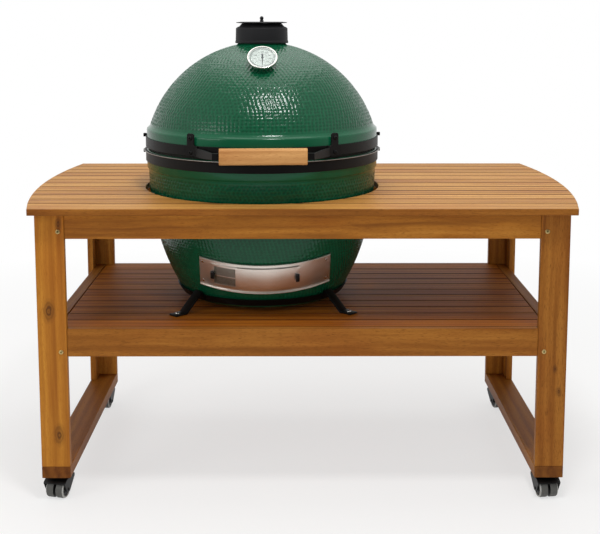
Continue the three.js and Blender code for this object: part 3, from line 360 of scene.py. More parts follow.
# Yellow zinc plate on the bolts: a pale brass gleam, with painted shade dimming it in the socket
yellow_zinc = metal("yellow_zinc_plate", "c9b47c", 0.3, spread=0.1, relief=0.1)
zinc_socket = metal("yellow_zinc_socket", "8a7b50", 0.4, spread=0.1, relief=0.1)
# Woven stainless wire: greyer than sheet, because each wire shades its neighbours
wire_steel = metal("woven_wire", "b5afa6", 0.45, relief=0.1)
# Moulded nylon of the casters and door tabs, faintly pebbled
black_nylon = metal("moulded_black_nylon", "0e0e0f", 0.42, metallic=0.0, relief=0.3, fine=700.0, shine=0.25)
# Rubber of the wheels: dull grey on the tread, and a paler ring on the side that is a painted reflection
# along each wheel's edge
wheel_edge_highlight = metal("painted_wheel_edge_highlight", "a3a39f", 0.5, metallic=0.0, relief=0.1, fine=600.0)
tyre_grey = metal("grey_tyre", "4c4c49", 0.55, metallic=0.0, relief=0.25, fine=600.0)
# Pressed felt: black and without any gloss
felt = metal("black_felt_seal", "211f1b", 0.95, metallic=0.0, relief=1.0, fine=800.0)
# Fired clay without glaze: pale, chalky and slightly gritty
fire_clay = metal("fired_clay", "b7a690", 0.88, metallic=0.0, relief=0.8, fine=260.0, spread=0.06)
# The dial: white enamel with dark printing, and a pointer in dark lacquer, all satin
dial_print = metal("dial_print", "262b2f", 0.5, metallic=0.0, relief=0.02)
dial_enamel = metal("white_dial_enamel", "e6e9e6", 0.4, metallic=0.0, relief=0.02)
needle_lacquer = metal("needle_lacquer", "20262c", 0.4, metallic=0.0, relief=0.02)


def clear_glass():
    """Flat dial glass, thin and colourless."""
    made, tree, shader = material("dial_glass")
    smear = add(tree, "TexNoise", {"Vector": add(tree, "TexCoord").outputs["Object"], "Scale": 40.0})
    rough = add(tree, "MapRange", {"Value": smear.outputs["Fac"], "To Min": 0.02, "To Max": 0.06})
    tree.links.new(rough.outputs[0], shader.inputs["Roughness"])
    shader.inputs["Base Color"].default_value = linear("f4f8f6")
    shader.inputs["Transmission Weight"].default_value = 1.0
    shader.inputs["IOR"].default_value = 1.12
    return made


dial_glass = clear_glass()

# Ways of shaping a piece: steps round a turned one, widths of rounded edges, and reach of a merge or cut
ROUND = 128
FINE_ROUND = 720
FINE_SECTORS = 12
SMALL_ROUND = 32
EDGE = 0.0015
THIN_EDGE = 0.0004
MERGE = 1e-6
CUT_REACH = 1e-7
SHARP = math.radians(30)
GRAIN_AXES = {"x": (0, 1, 2), "y": (1, 0, 2), "z": (2, 0, 1)}
dice = random.Random(11)


def finished(bm, name, coats, body, nodes=(), place=None, crease=20, clean=True):
    """Makes a bmesh a piece of the object: cleaned, put in place, smoothed, coated and fixed to its body."""
    if clean:
        bmesh.ops.remove_doubles(bm, verts=bm.verts, dist=MERGE)
        bmesh.ops.recalc_face_normals(bm, faces=bm.faces)
    if place is not None:
        bm.transform(place)
    mesh = bpy.data.meshes.new(name)
    bm.to_mesh(mesh)
    bm.free()
    mesh.shade_smooth()
    mesh.set_sharp_from_angle(angle=math.radians(crease))
    for coat in coats:
        mesh.materials.append(coat)
    piece = bpy.data.objects.new(name, mesh)
    bpy.context.scene.collection.objects.link(piece)
    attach(piece, body)
    if nodes:
        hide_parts(*nodes)
    return piece


def since(bm, known):
    """The vertices, edges and faces made since the known vertices were listed."""
    verts = [v for v in bm.verts if v not in known]
    edges = [e for e in bm.edges if e.verts[0] not in known]
    faces = [f for f in bm.faces if f.verts[0] not in known]
    return verts, edges, faces


def round_edges(bm, known, width, segments=2, sharper=SHARP):
    """Rounds the edges of the newest shape that turn more sharply than an angle."""
    _, edges, _ = since(bm, known)
    sharp = [e for e in edges if e.calc_face_angle(0.0) > sharper]
    bmesh.ops.bevel(
        bm, geom=sharp, offset=width, offset_type="OFFSET", segments=segments, profile=0.5, affect="EDGES",
        material=-1, clamp_overlap=True,
    )


def paint(bm, known, index):
    """Gives the newest shape one of its piece's coats."""
    for face in since(bm, known)[2]:
        face.material_index = index


def block(bm, low, high, edge=THIN_EDGE, place=None, cuts=(), bend=None, coat=0):
    """Adds a box between two corners, cut across where it will bend, then bent, rounded and put in place."""
    known = set(bm.verts)
    low, high = Vector(low), Vector(high)
    size = high - low
    stretched = Matrix.Translation((low + high) / 2) @ Matrix.Diagonal((*size, 1.0))
    bmesh.ops.create_cube(bm, size=1.0, matrix=stretched)
    for axis, places in cuts:
        across = Vector([1.0 if i == axis else 0.0 for i in range(3)])
        for at in places:
            verts, edges, faces = since(bm, known)
            bmesh.ops.bisect_plane(
                bm, geom=verts + edges + faces, dist=CUT_REACH, plane_co=across * at, plane_no=across,
            )
    verts = since(bm, known)[0]
    if bend is not None:
        for vert in verts:
            vert.co = bend(vert.co)
        bm.normal_update()
        bmesh.ops.recalc_face_normals(bm, faces=since(bm, known)[2])
    if edge:
        round_edges(bm, known, edge)
    if place is not None:
        bmesh.ops.transform(bm, matrix=place, verts=since(bm, known)[0])
    paint(bm, known, coat)
    return known


def turned(bm, profile, steps=SMALL_ROUND, place=None, edge=0.0, coat=0, sectors=1):
    """Adds a shape turned on the Z axis from an outline of (radius, height) points."""
    known = set(bm.verts)
    points = [bm.verts.new((radius, 0.0, height)) for radius, height in profile]
    edges = [bm.edges.new(pair) for pair in zip(points, points[1:])]
    bmesh.ops.spin(
        bm, geom=points + edges, cent=(0, 0, 0), axis=(0, 0, 1), angle=math.tau / sectors,
        steps=steps // sectors, use_merge=sectors == 1, use_duplicate=False,
    )
    first = [item for kind in since(bm, known) for item in kind]
    for i in range(1, sectors):
        copied = bmesh.ops.duplicate(bm, geom=first)["geom"]
        verts = [item for item in copied if isinstance(item, bmesh.types.BMVert)]
        round_axis = Matrix.Rotation(math.tau * i / sectors, 3, "Z")
        bmesh.ops.rotate(bm, verts=verts, cent=(0, 0, 0), matrix=round_axis)
    bmesh.ops.remove_doubles(bm, verts=since(bm, known)[0], dist=MERGE)
    bmesh.ops.recalc_face_normals(bm, faces=since(bm, known)[2])
    if edge:
        round_edges(bm, known, edge, 2)
    if place is not None:
        bmesh.ops.transform(bm, matrix=place, verts=since(bm, known)[0])
        bmesh.ops.recalc_face_normals(bm, faces=since(bm, known)[2])
    paint(bm, known, coat)
    return known


def plate(bm, outline, thickness, place=None, edge=THIN_EDGE, coat=0, segments=2):
    """Adds a flat plate from an outline in X and Y, as thick along +Z as given."""
    known = set(bm.verts)
    face = bm.faces.new([bm.verts.new((x, y, 0.0)) for x, y in outline])
    face.normal_update()
    raised = bmesh.ops.extrude_face_region(bm, geom=[face])
    top = [item for item in raised["geom"] if isinstance(item, bmesh.types.BMVert)]
    bmesh.ops.translate(bm, vec=(0, 0, thickness), verts=top)
    bmesh.ops.recalc_face_normals(bm, faces=since(bm, known)[2])
    if edge:
        round_edges(bm, known, edge, segments)
    if place is not None:
        bmesh.ops.transform(bm, matrix=place, verts=since(bm, known)[0])
    paint(bm, known, coat)
    return known


def arc(centre, radius, start, end, steps):
    """Points of an arc in radius and height, between two angles from the level."""
    angles = [start + (end - start) * i / steps for i in range(steps + 1)]
    return [(centre[0] + radius * math.cos(a), centre[1] + radius * math.sin(a)) for a in angles]


def spaced(start, end, steps):
    """Even steps from a start to an end, both of them in the list."""
    return [start + (end - start) * i / steps for i in range(steps + 1)]


def cut_out(piece, bm):
    """Cuts a shape out of a finished piece."""
    bmesh.ops.recalc_face_normals(bm, faces=bm.faces)
    mesh = bpy.data.meshes.new("cutter")
    bm.to_mesh(mesh)
    bm.free()
    cutter = bpy.data.objects.new("cutter", mesh)
    bpy.context.scene.collection.objects.link(cutter)
    cut = piece.modifiers.new("cut", "BOOLEAN")
    cut.object = cutter
    cut.solver = "EXACT"
    graph = bpy.context.evaluated_depsgraph_get()
    result = bpy.data.meshes.new_from_object(piece.evaluated_get(graph))
    piece.modifiers.clear()
    piece.data = result
    result.name = piece.name
    bpy.data.objects.remove(cutter)


# Wood: boards with their grain
def wood_piece():
    """A bmesh whose boards keep where their grain runs and how dark they are."""
    bm = bmesh.new()
    bm.verts.layers.float_vector.new("grain")
    bm.verts.layers.float.new("tone")
    return bm


# A face that looks more than this share forward or back is one that its neighbour shades
SIDE_SLOPE = 0.3


def paint_gap_shade_and_end_grain(bm, front=-1.0, rear=1.0):
    """Gives faces that look forward or back the second coat, and those past two depths, if any, the third: on
    slats both are painted shade, in the gaps and on the top's outer edges; on bottom rails the second is
    their dark end grain.
    """
    bm.normal_update()
    for face in bm.faces:
        if abs(face.normal.y) > SIDE_SLOPE:
            face.material_index = 1 if front < face.calc_center_median().y < rear else 2


def board(bm, low, high, along, edge=EDGE, cuts=(), bend=None):
    """Adds a planed board between two corners, its grain along one axis, its tone its own."""
    known = block(bm, low, high, edge, cuts=cuts, bend=bend)
    grain = bm.verts.layers.float_vector["grain"]
    tone = bm.verts.layers.float["tone"]
    axes = GRAIN_AXES[along]
    shift = Vector([dice.uniform(0, 9) for _ in range(3)])
    level = dice.uniform(-0.5, 0.5)
    for vert in since(bm, known)[0]:
        vert[grain] = Vector([vert.co[axis] for axis in axes]) + shift
        vert[tone] = level
    return known


# The top: its ends are arcs of the bow radius, and its slats are sawn round the hole
BOW_RADIUS = 2.110
BOW_PEAK_Y = 0.060
HOLE_RADIUS = 0.3385
SLAT_GAP = 0.003
SLAT_EDGE = 0.0014
HOLE_STEPS = 10
SLAT_CUTS = 6

low_short, high_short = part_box("top_slats_left")
low_front, high_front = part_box("top_slat_front")
low_behind, high_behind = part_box("top_slat_behind_hole")
low_rear, high_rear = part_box("top_slat_rear")
HALF_LENGTH = -low_short.x
END_ZONE = HALF_LENGTH * 0.7
BOARD_LOW = low_front.z
BOARD_HIGH = high_front.z


def bow_half(y):
    """Half the top's length at a depth: its ends are arcs."""
    return HALF_LENGTH - BOW_RADIUS + math.sqrt(BOW_RADIUS**2 - (y - BOW_PEAK_Y) ** 2)


def hole_half(offset):
    """Half the hole's width at a distance from its middle."""
    return math.sqrt(max(HOLE_RADIUS**2 - offset**2, 0.0))


def whole_slat(low_y, high_y, hole_side):
    """A slat from end to end of the top, hollowed by the hole along one edge, if at all."""
    bm = wood_piece()
    middle = (low_y + high_y) / 2
    notch = hole_half((high_y if hole_side < 0 else low_y) - KAMADO_Y) if hole_side else 0.0
    cuts = [KAMADO_X + notch * math.sin(angle) for angle in spaced(-math.pi / 2, math.pi / 2, HOLE_STEPS)]

    def saw(place):
        """Moves both ends to the bow, and the hollowed edge to the hole."""
        x, y, z = place
        if abs(x) > END_ZONE:
            x = math.copysign(bow_half(y), x)
        elif hole_side and (y - middle) * hole_side < 0:
            y = KAMADO_Y + hole_side * hole_half(x - KAMADO_X)
        return Vector((x, y, z))

    board(bm, (-HALF_LENGTH, low_y, BOARD_LOW), (HALF_LENGTH, high_y, BOARD_HIGH), "x", SLAT_EDGE,
          cuts=[(0, cuts)] if hole_side else (), bend=saw)
    paint_gap_shade_and_end_grain(bm, low_front.y + SLAT_EDGE, high_rear.y - SLAT_EDGE)
    return bm


finished(whole_slat(low_front.y, high_front.y, -1), "front_slat", TOP_WOODS, MAIN_BODY,
         ["top_slat_front"], clean=False)
finished(whole_slat(low_behind.y, high_behind.y, 1), "slat_behind_hole", TOP_WOODS, MAIN_BODY,
         ["top_slat_behind_hole"], clean=False)
finished(whole_slat(low_rear.y, high_rear.y, 0), "rear_slat", TOP_WOODS, MAIN_BODY,
         ["top_slat_rear"], clean=False)

SHORT_COUNT = 9
BATTEN_WIDTH = 0.040
BATTEN_THICKNESS = 0.018
BATTEN_FRONT = -0.316
LEFT_BATTENS = (-0.6715, -0.5125)
RIGHT_BATTENS = (0.2405, 0.427, 0.6315)
UNSAWN_END = 0.01
short_low = high_front.y + SLAT_GAP
short_high = low_behind.y - SLAT_GAP
short_pitch = (short_high - short_low + SLAT_GAP) / SHORT_COUNT
for side, sign, battens in (("left", -1, LEFT_BATTENS), ("right", 1, RIGHT_BATTENS)):
    bm = wood_piece()

    def saw(place):
        """Moves one end to the bow and the other to the hole."""
        x, y, z = place
        near_hole = (x - sign * END_ZONE) * sign < 0
        x = KAMADO_X + sign * hole_half(y - KAMADO_Y) if near_hole else sign * bow_half(y)
        return Vector((x, y, z))

    for i in range(SHORT_COUNT):
        y0 = short_low + i * short_pitch
        y1 = y0 + short_pitch - SLAT_GAP
        ends = sorted((sign * HALF_LENGTH, KAMADO_X + sign * UNSAWN_END))
        board(bm, (ends[0], y0, BOARD_LOW), (ends[1], y1, BOARD_HIGH), "x", SLAT_EDGE,
              cuts=[(1, spaced(y0, y1, SLAT_CUTS)[1:-1])], bend=saw)
    paint_gap_shade_and_end_grain(bm)
    for x in battens:
        near = (x, BATTEN_FRONT, BOARD_LOW - BATTEN_THICKNESS)
        board(bm, near, (x + BATTEN_WIDTH, high_short.y, BOARD_LOW), "y")
    finished(bm, f"short_slats_{side}", TOP_WOODS, MAIN_BODY, [f"top_slats_{side}"], clean=False)

# The legs: each is a front or rear board with a side board behind it, grain upright
LEG_BOARD = 0.018
LEG_WOODS = {("front", "left"): left_leg_wood, ("front", "right"): right_leg_and_shade_wood}
for row, row_sign in (("front", -1), ("rear", 1)):
    for side, sign in (("left", -1), ("right", 1)):
        low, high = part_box(f"leg_{row}_{side}")
        bm = wood_piece()
        face_low, face_high = low.copy(), high.copy()
        side_low, side_high = low.copy(), high.copy()
        if row_sign < 0:
            face_high.y = low.y + LEG_BOARD
            side_low.y = low.y + LEG_BOARD
        else:
            face_low.y = high.y - LEG_BOARD
            side_high.y = high.y - LEG_BOARD
        if sign < 0:
            side_high.x = low.x + LEG_BOARD
        else:
            side_low.x = high.x - LEG_BOARD
        board(bm, face_low, face_high, "z")
        board(bm, side_low, side_high, "z")
        finished(bm, f"{row}_{side}_leg", [LEG_WOODS.get((row, side), frame_wood)], MAIN_BODY,
                 [f"leg_{row}_{side}"], clean=False)

# Aprons, shelf rails and bottom rails, one board each
for name, along in (
    ("apron_front", "x"), ("apron_rear", "x"), ("apron_left", "y"), ("apron_right", "y"),
    ("shelf_rail_front", "x"), ("shelf_rail_rear", "x"), ("shelf_end_left", "y"), ("shelf_end_right", "y"),
    ("bottom_rail_left", "y"), ("bottom_rail_right", "y"),
):
    low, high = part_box(name)
    bm = wood_piece()
    board(bm, low, high, along)
    if name.startswith("bottom"):
        paint_gap_shade_and_end_grain(bm)
    # Rails take the darker right leg's wood as painted shade; the aprons keep the frame's own
    wood = frame_wood if name.startswith("apron") else right_leg_and_shade_wood
    finished(bm, f"{name}_board", [wood, end_grain_wood], MAIN_BODY, [name], clean=False)

# The shelf: slats over three battens
SHELF_SLATS = 11
SHELF_SLAT_THICKNESS = 0.017
SHELF_BATTEN_WIDTH = 0.080
SHELF_BATTENS = 3
low_shelf, high_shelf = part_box("shelf_slats")
bm = wood_piece()
shelf_pitch = (high_shelf.y - low_shelf.y) / SHELF_SLATS
slat_foot = high_shelf.z - SHELF_SLAT_THICKNESS
for i in range(SHELF_SLATS):
    y0 = low_shelf.y + i * shelf_pitch + (SLAT_GAP / 2 if i else 0)
    y1 = low_shelf.y + (i + 1) * shelf_pitch - (SLAT_GAP / 2 if i < SHELF_SLATS - 1 else 0)
    board(bm, (low_shelf.x, y0, slat_foot), (high_shelf.x, y1, high_shelf.z), "x", SLAT_EDGE)
paint_gap_shade_and_end_grain(bm)
for x in spaced(low_shelf.x, high_shelf.x - SHELF_BATTEN_WIDTH, SHELF_BATTENS - 1):
    board(bm, (x, low_shelf.y, low_shelf.z), (x + SHELF_BATTEN_WIDTH, high_shelf.y, slat_foot), "y")
finished(
    bm, "shelf_boards", [shelf_wood, slat_gap_shade_wood], MAIN_BODY, ["shelf_slats"], clean=False,
)

# Bolts with round heads and a hexagon socket; the legs' bolts stand a little proud of the wood
BOLT_RADIUS = 0.0062
BOLT_HEAD = 0.0028
SOCKET_SHARE = 0.42
BOLT_INSET = 0.0155
BOLT_PROUD = 0.0002
BOLT_HEIGHTS = (0.735, 0.4135)


def socket_bolt(bm, place, radius=BOLT_RADIUS, head=BOLT_HEAD, coat=0):
    """Adds a domed bolt head standing along +Z of its place, with painted shade in its socket as the next
    coat.
    """
    socket = radius * SOCKET_SHARE
    rim = arc((radius - head, 0.0), head, 0.0, math.pi / 2, 4)
    sunk = head * 0.2
    outline = [(0.0, -head), (radius, -head), *rim, (socket, head), (socket, sunk), (0.0, sunk)]
    turned(bm, outline, 24, place, coat=coat)
    # The socket's floor takes the next coat: painted shade in the hollow
    foot, top = head * 0.1, head * 0.25
    turned(bm, [(0.0, foot), (socket, foot), (socket, top), (0.0, top)], 6, place, coat=coat + 1)


FORWARD = Matrix.Rotation(math.pi / 2, 4, "X")
BACKWARD = Matrix.Rotation(-math.pi / 2, 4, "X")
bm = bmesh.new()
for row, turn in (("front", FORWARD), ("rear", BACKWARD)):
    for side, sign in (("left", -1), ("right", 1)):
        low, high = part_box(f"leg_{row}_{side}")
        inner = high.x if sign < 0 else low.x
        face = low.y if row == "front" else high.y
        for z in BOLT_HEIGHTS:
            place = Matrix.Translation((inner + sign * BOLT_INSET, face, z)) @ turn
            socket_bolt(bm, place @ Matrix.Translation((0, 0, BOLT_PROUD)))
# The zinc socket coat is painted shade in the sockets
finished(bm, "leg_bolts", [yellow_zinc, zinc_socket], MAIN_BODY)


# The kamado's ceramic shells
def egg_radius(z):
    """The outer radius of the base's side at a height."""
    return EGG_RADIUS * math.sqrt(1 - ((RIM_FOOT - z) / EGG_DROP) ** 2)


def egg_lean(z):
    """How far the base's side leans out from upright at a height."""
    return math.atan(EGG_RADIUS**2 * (RIM_FOOT - z) / (EGG_DROP**2 * egg_radius(z)))


# How often a height that leans on itself is worked out again, until it no longer moves
TRIES = 8


def base_foot_height():
    """Where the rounded corner of the foot runs into the egg's side."""
    z = BASE_BOTTOM + BASE_CORNER
    for _ in range(TRIES):
        z = BASE_BOTTOM + BASE_CORNER - BASE_CORNER * math.sin(egg_lean(z))
    return z


# Dimples in staggered rows; the side is longer than it is high by the side stretch
DIMPLE_PITCH = 0.0112
DIMPLE_ROW = DIMPLE_PITCH * math.sqrt(3) / 2
DIMPLE_REACH = 0.54
DIMPLE_DEPTH = 0.0015
DIMPLE_WANDER = 0.25
RINGS_PER_ROW = 3
SIDE_STRETCH = 1.13
FOOT = base_foot_height()
BASE_LEVELS = RINGS_PER_ROW * round((RIM_FOOT - FOOT) * SIDE_STRETCH / DIMPLE_ROW)
lean = egg_lean(FOOT)
foot_centre = (egg_radius(FOOT) - BASE_CORNER * math.cos(lean), BASE_BOTTOM + BASE_CORNER)
egg_side = [(egg_radius(z), z) for z in spaced(FOOT, RIM_FOOT, BASE_LEVELS)][1:]
hollow = [
    (egg_radius(z) - BASE_WALL / math.cos(egg_lean(z)), z)
    for z in spaced(BASE_BOTTOM + BASE_FLOOR, RIM_FOOT, 12)
][::-1]
RIM_ROUND = 0.003
SHELL_CREASE = 50
base_profile = [
    (0.0, BASE_BOTTOM),
    *arc(foot_centre, BASE_CORNER, -math.pi / 2, -lean, 8),
    *egg_side,
    (RIM_RADIUS - 0.001, RIM_FOOT + 0.003),
    (RIM_RADIUS, RIM_FOOT + 0.005),
    *arc((RIM_RADIUS - RIM_ROUND, BASE_TOP - RIM_ROUND), RIM_ROUND, 0.0, math.pi / 2, 4),
    (RIM_RADIUS - RIM_WALL, BASE_TOP),
    *hollow,
    (0.0, BASE_BOTTOM + BASE_FLOOR),
]


def press_dimples(bm, centre_height, share_at):
    """Presses staggered rows of dimples into a shell, as deep at each place as its share says.

    The rows go up the shell by the angle seen from a centre on its axis, and each holds as many
    dimples as fit round it, so they stay about one size from rim to crown."""
    bm.normal_update()
    dip = bm.verts.layers.float.new("dip")
    for vert in bm.verts:
        share = share_at(vert.co)
        if share > 0.0:
            out = math.hypot(vert.co.x, vert.co.y)
            reach = math.hypot(out, vert.co.z - centre_height)
            up = math.atan2(vert.co.z - centre_height, out) * reach / DIMPLE_ROW
            turn = (math.atan2(vert.co.y, vert.co.x) / math.tau) % 1.0
            nearest = 1.0
            for row in (math.floor(up), math.floor(up) + 1):
                count = max(1, round(math.tau * reach * math.cos(row * DIMPLE_ROW / reach) / DIMPLE_PITCH))
                place = turn * count + row % 2 / 2
                wander = noise.cell_vector(Vector((row + 0.5, math.floor(place) + 0.5, 0.5))) * DIMPLE_WANDER
                across = place - math.floor(place) - 0.5 + wander.x
                nearest = min(nearest, math.hypot(across, (up - row + wander.y) * DIMPLE_ROW / DIMPLE_PITCH))
            vert[dip] = share * max(0.0, 1.0 - (nearest / DIMPLE_REACH) ** 2)
            vert.co -= vert.normal * vert[dip] * DIMPLE_DEPTH


def fade(value, start, end):
    """0 before the start, 1 past the end, and even between them."""
    return min(max((value - start) / (end - start), 0.0), 1.0)


def leave_bare(bm, inside):
    """Gives the faces inside a shell the second coat, its bare clay."""
    for face in bm.faces:
        if inside(face.calc_center_median()):
            face.material_index = 1


def inside_base(place):
    """Whether a place is nearer to the base's inner face than to its outer one."""
    middle_of_wall = egg_radius(max(place.z, FOOT)) - BASE_WALL / 2
    return math.hypot(place.x, place.y) < middle_of_wall and place.z > BASE_BOTTOM


# How far from rim, foot and neck the dimples begin, and how far from rim and neck they are full
BELOW_RIM = (0.006, 0.012)
ABOVE_FOOT = 0.008
ABOVE_RIM = (0.004, 0.014)
ROUND_NECK = (0.006, 0.014)


def base_share(place):
    """How fully the base is dimpled: not on the rim, inside, or under the foot."""
    if inside_base(place):
        return 0.0
    above_foot = fade(place.z, BASE_BOTTOM + ABOVE_FOOT, FOOT + ABOVE_FOOT)
    return min(fade(RIM_FOOT - place.z, *BELOW_RIM), above_foot)


bm = bmesh.new()
turned(bm, base_profile, FINE_ROUND, sectors=FINE_SECTORS)
press_dimples(bm, RIM_FOOT, base_share)
leave_bare(bm, inside_base)
base = finished(
    bm, "ceramic_base", [glaze, fire_clay], MAIN_BODY, ["base_shell"], crease=SHELL_CREASE,
)

# The draft opening in the base's front
DRAFT_LEFT = -0.128
DRAFT_RIGHT = 0.036
DRAFT_HEIGHT = 0.056
egg_front = egg_radius(DRAFT_Z)


def on_base(place):
    """Lays (across, off the wall, up the strip) on the base's front, along the draft door's leaning strip."""
    x, off, lift = place
    z = DRAFT_Z + lift / math.cos(DRAFT_TILT)
    for _ in range(TRIES):
        y = -math.sqrt((egg_radius(z) + off) ** 2 - x * x)
        z = DRAFT_Z + (y + egg_front) * math.tan(DRAFT_TILT) + lift / math.cos(DRAFT_TILT)
    return Vector((x, y, z))


bm = bmesh.new()
slope = Matrix.Translation((0, -egg_front, DRAFT_Z)) @ Matrix.Rotation(DRAFT_TILT, 4, "X")
block(bm, (DRAFT_LEFT, -0.05, -DRAFT_HEIGHT / 2), (DRAFT_RIGHT, 0.12, DRAFT_HEIGHT / 2), 0, slope)
cut_out(base, bm)
base.data.transform(KAMADO)

# The dome, with its rim, its crown and the chimney's neck
DOME_RIM_TOP = DOME_BOTTOM + DOME_RIM_HEIGHT
DOME_EDGE = 0.008
dome_start = math.asin((DOME_RIM_TOP + DOME_EDGE / 2 - DOME_CENTRE) / DOME_RADIUS)
NECK_FLARE = 0.005
dome_end = math.acos((NECK_RADIUS + NECK_FLARE) / DOME_RADIUS)
DOME_LEVELS = RINGS_PER_ROW * round((dome_end - dome_start) * DOME_RADIUS / DIMPLE_ROW)
inner_radius = DOME_RADIUS - DOME_WALL
inner_end = math.acos(NECK_BORE / inner_radius)
inner_start = math.asin((DOME_BOTTOM + DOME_EDGE - DOME_CENTRE) / inner_radius)
NECK_FOOT = DOME_CENTRE + math.sqrt(DOME_RADIUS**2 - (NECK_RADIUS + NECK_FLARE) ** 2)
dome_profile = [
    (RIM_RADIUS - RIM_WALL, DOME_BOTTOM),
    *arc((RIM_RADIUS - RIM_ROUND, DOME_BOTTOM + RIM_ROUND), RIM_ROUND, -math.pi / 2, 0.0, 4),
    (RIM_RADIUS, DOME_RIM_TOP - DOME_EDGE),
    (RIM_RADIUS - 0.0008, DOME_RIM_TOP - DOME_EDGE / 2),
    (RIM_RADIUS - DOME_EDGE / 3, DOME_RIM_TOP - DOME_EDGE / 3),
    *arc((0.0, DOME_CENTRE), DOME_RADIUS, dome_start, dome_end, DOME_LEVELS),
    (NECK_RADIUS, NECK_FOOT + NECK_FLARE),
    (NECK_RADIUS, NECK_TOP),
    (NECK_BORE, NECK_TOP),
    *arc((0.0, DOME_CENTRE), inner_radius, inner_end, inner_start, 16),
    (RIM_RADIUS - RIM_WALL, DOME_BOTTOM),
]


def inside_dome(place):
    """Whether a place is nearer to the dome's inner face than to its outer one."""
    return (place - Vector((0.0, 0.0, DOME_CENTRE))).length < DOME_RADIUS - DOME_WALL / 2


def dome_share(place):
    """How fully the dome is dimpled: not on the rim, inside, or on the neck."""
    if inside_dome(place):
        return 0.0
    beside_neck = fade(math.hypot(place.x, place.y) - NECK_RADIUS, *ROUND_NECK)
    return min(fade(place.z - DOME_RIM_TOP, *ABOVE_RIM), beside_neck)


bm = bmesh.new()
turned(bm, dome_profile, FINE_ROUND, sectors=FINE_SECTORS)
press_dimples(bm, DOME_CENTRE, dome_share)
leave_bare(bm, inside_dome)
finished(
    bm, "ceramic_dome", [glaze, fire_clay], "lid", ["dome_shell"], KAMADO, SHELL_CREASE,
)

# Felt seals between the rims
FELT_OUTER = RIM_RADIUS - 0.004
FELT_INNER = FELT_OUTER - 0.022
for name, body in (("lower_gasket", MAIN_BODY), ("upper_gasket", "lid")):
    low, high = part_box(name)
    bm = bmesh.new()
    turned(bm, [
        (FELT_INNER, low.z), (FELT_OUTER, low.z), (FELT_OUTER, high.z), (FELT_INNER, high.z),
        (FELT_INNER, low.z),
    ], ROUND, edge=0.0008)
    finished(bm, f"{name}_felt", [felt], body, [name], KAMADO)

# Steel bands: the lower one has a lip that catches the light; both close with a bolt through two lugs
LIP = 0.005
LIP_HEIGHT = 0.0025
LUG = 0.010
LUG_REACH = 0.008
LUG_EDGE = 0.001
LUG_BOLT = 0.0032


def band_lugs(bm, z):
    """Adds a lug and its bolt on each side of a band, at a height."""
    for sign in (-1, 1):
        ends = sorted((sign * (BAND_OUTER - LUG_EDGE), sign * (BAND_OUTER + LUG_REACH)))
        block(bm, (ends[0], -LUG / 2, z), (ends[1], LUG / 2, z + LUG), LUG_EDGE)
        middle = sign * (BAND_OUTER + LUG_REACH / 2 + LUG_EDGE)
        place = Matrix.Translation((middle, -LUG / 2, z + LUG / 2)) @ FORWARD
        head = [(0, -0.001), (LUG_BOLT, -0.001), (LUG_BOLT, 0.0016), (LUG_BOLT - 0.0006, 0.0022), (0, 0.0022)]
        turned(bm, head, 6, place)


low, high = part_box("lower_band")
LOWER_BAND_LOW = low.z
lip_foot = high.z - LIP_HEIGHT
LIP_ROUND = LIP_HEIGHT / 2
lip_end = (BAND_OUTER + LIP - LIP_ROUND, lip_foot + LIP_ROUND)
bm = bmesh.new()
turned(bm, [
    (BAND_INNER, low.z),
    (BAND_OUTER - 0.0006, low.z),
    (BAND_OUTER, low.z + 0.0006),
    (BAND_OUTER, lip_foot - 0.001),
    (BAND_OUTER + 0.001, lip_foot),
    *arc(lip_end, LIP_ROUND, -math.pi / 2, math.pi / 2, 6),
    (BAND_INNER, high.z),
    (BAND_INNER, low.z),
], ROUND)
# The lip's outer faces take the grey steel: a painted highlight
for face in bm.faces:
    centre = face.calc_center_median()
    if math.hypot(centre.x, centre.y) > BAND_OUTER + 0.0012:
        face.material_index = 1
band_lugs(bm, lip_foot - LUG)
coats = [powder_coat, painted_lip_highlight]
finished(bm, "lower_steel_band", coats, MAIN_BODY, ["lower_band"], KAMADO)

UPPER_BAND_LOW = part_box("upper_band")[0].z
UPPER_BAND_HEIGHT = 0.028
UPPER_BAND_TOP = UPPER_BAND_LOW + UPPER_BAND_HEIGHT
bm = bmesh.new()
turned(bm, [
    (BAND_INNER, UPPER_BAND_LOW), (BAND_OUTER, UPPER_BAND_LOW), (BAND_OUTER, UPPER_BAND_TOP),
    (BAND_INNER, UPPER_BAND_TOP), (BAND_INNER, UPPER_BAND_LOW),
], ROUND, edge=0.0006)
band_lugs(bm, UPPER_BAND_TOP - LUG / 2)
finished(bm, "upper_steel_band", [powder_coat, polished_steel], "lid", ["upper_band"], KAMADO)

# Hinge brackets: a block on each band, curved to it, with ears round a headed pin
HINGE_REACH = 0.034
HINGE_Y = BAND_OUTER + HINGE_REACH
HINGE_Z = (BASE_TOP + DOME_BOTTOM) / 2
HINGE_EAR = 0.006
HINGE_BLOCK_HALF = 0.065
HINGE_BLOCK_FAR = 0.010
HINGE_BOLT_X = 0.025
BRACKET_BOLT = 0.006
LOWER_SPREAD = 0.052
UPPER_SPREAD = 0.0448
EAR_RADIUS = 0.014
EAR_EDGE = 0.001
PIN_RADIUS = 0.005
SIDEWAYS = Matrix(((0, 0, 1, 0), (1, 0, 0, 0), (0, 1, 0, 0), (0, 0, 0, 1)))


def ear(bm, x, root_low, root_high, up):
    """Adds a hinge ear: a plate across X from its root on the block to a round end about the pin."""
    start, end = (-math.pi * 0.55, math.pi * 0.62) if up else (-math.pi * 0.62, math.pi * 0.55)
    tip = arc((HINGE_Y, HINGE_Z), EAR_RADIUS - 0.0006, start, end, 12)
    outline = [(BAND_OUTER + 0.004, root_low), *tip, (BAND_OUTER + 0.004, root_high)]
    plate(bm, outline, HINGE_EAR, Matrix.Translation((x - HINGE_EAR / 2, 0, 0)) @ SIDEWAYS, EAR_EDGE)


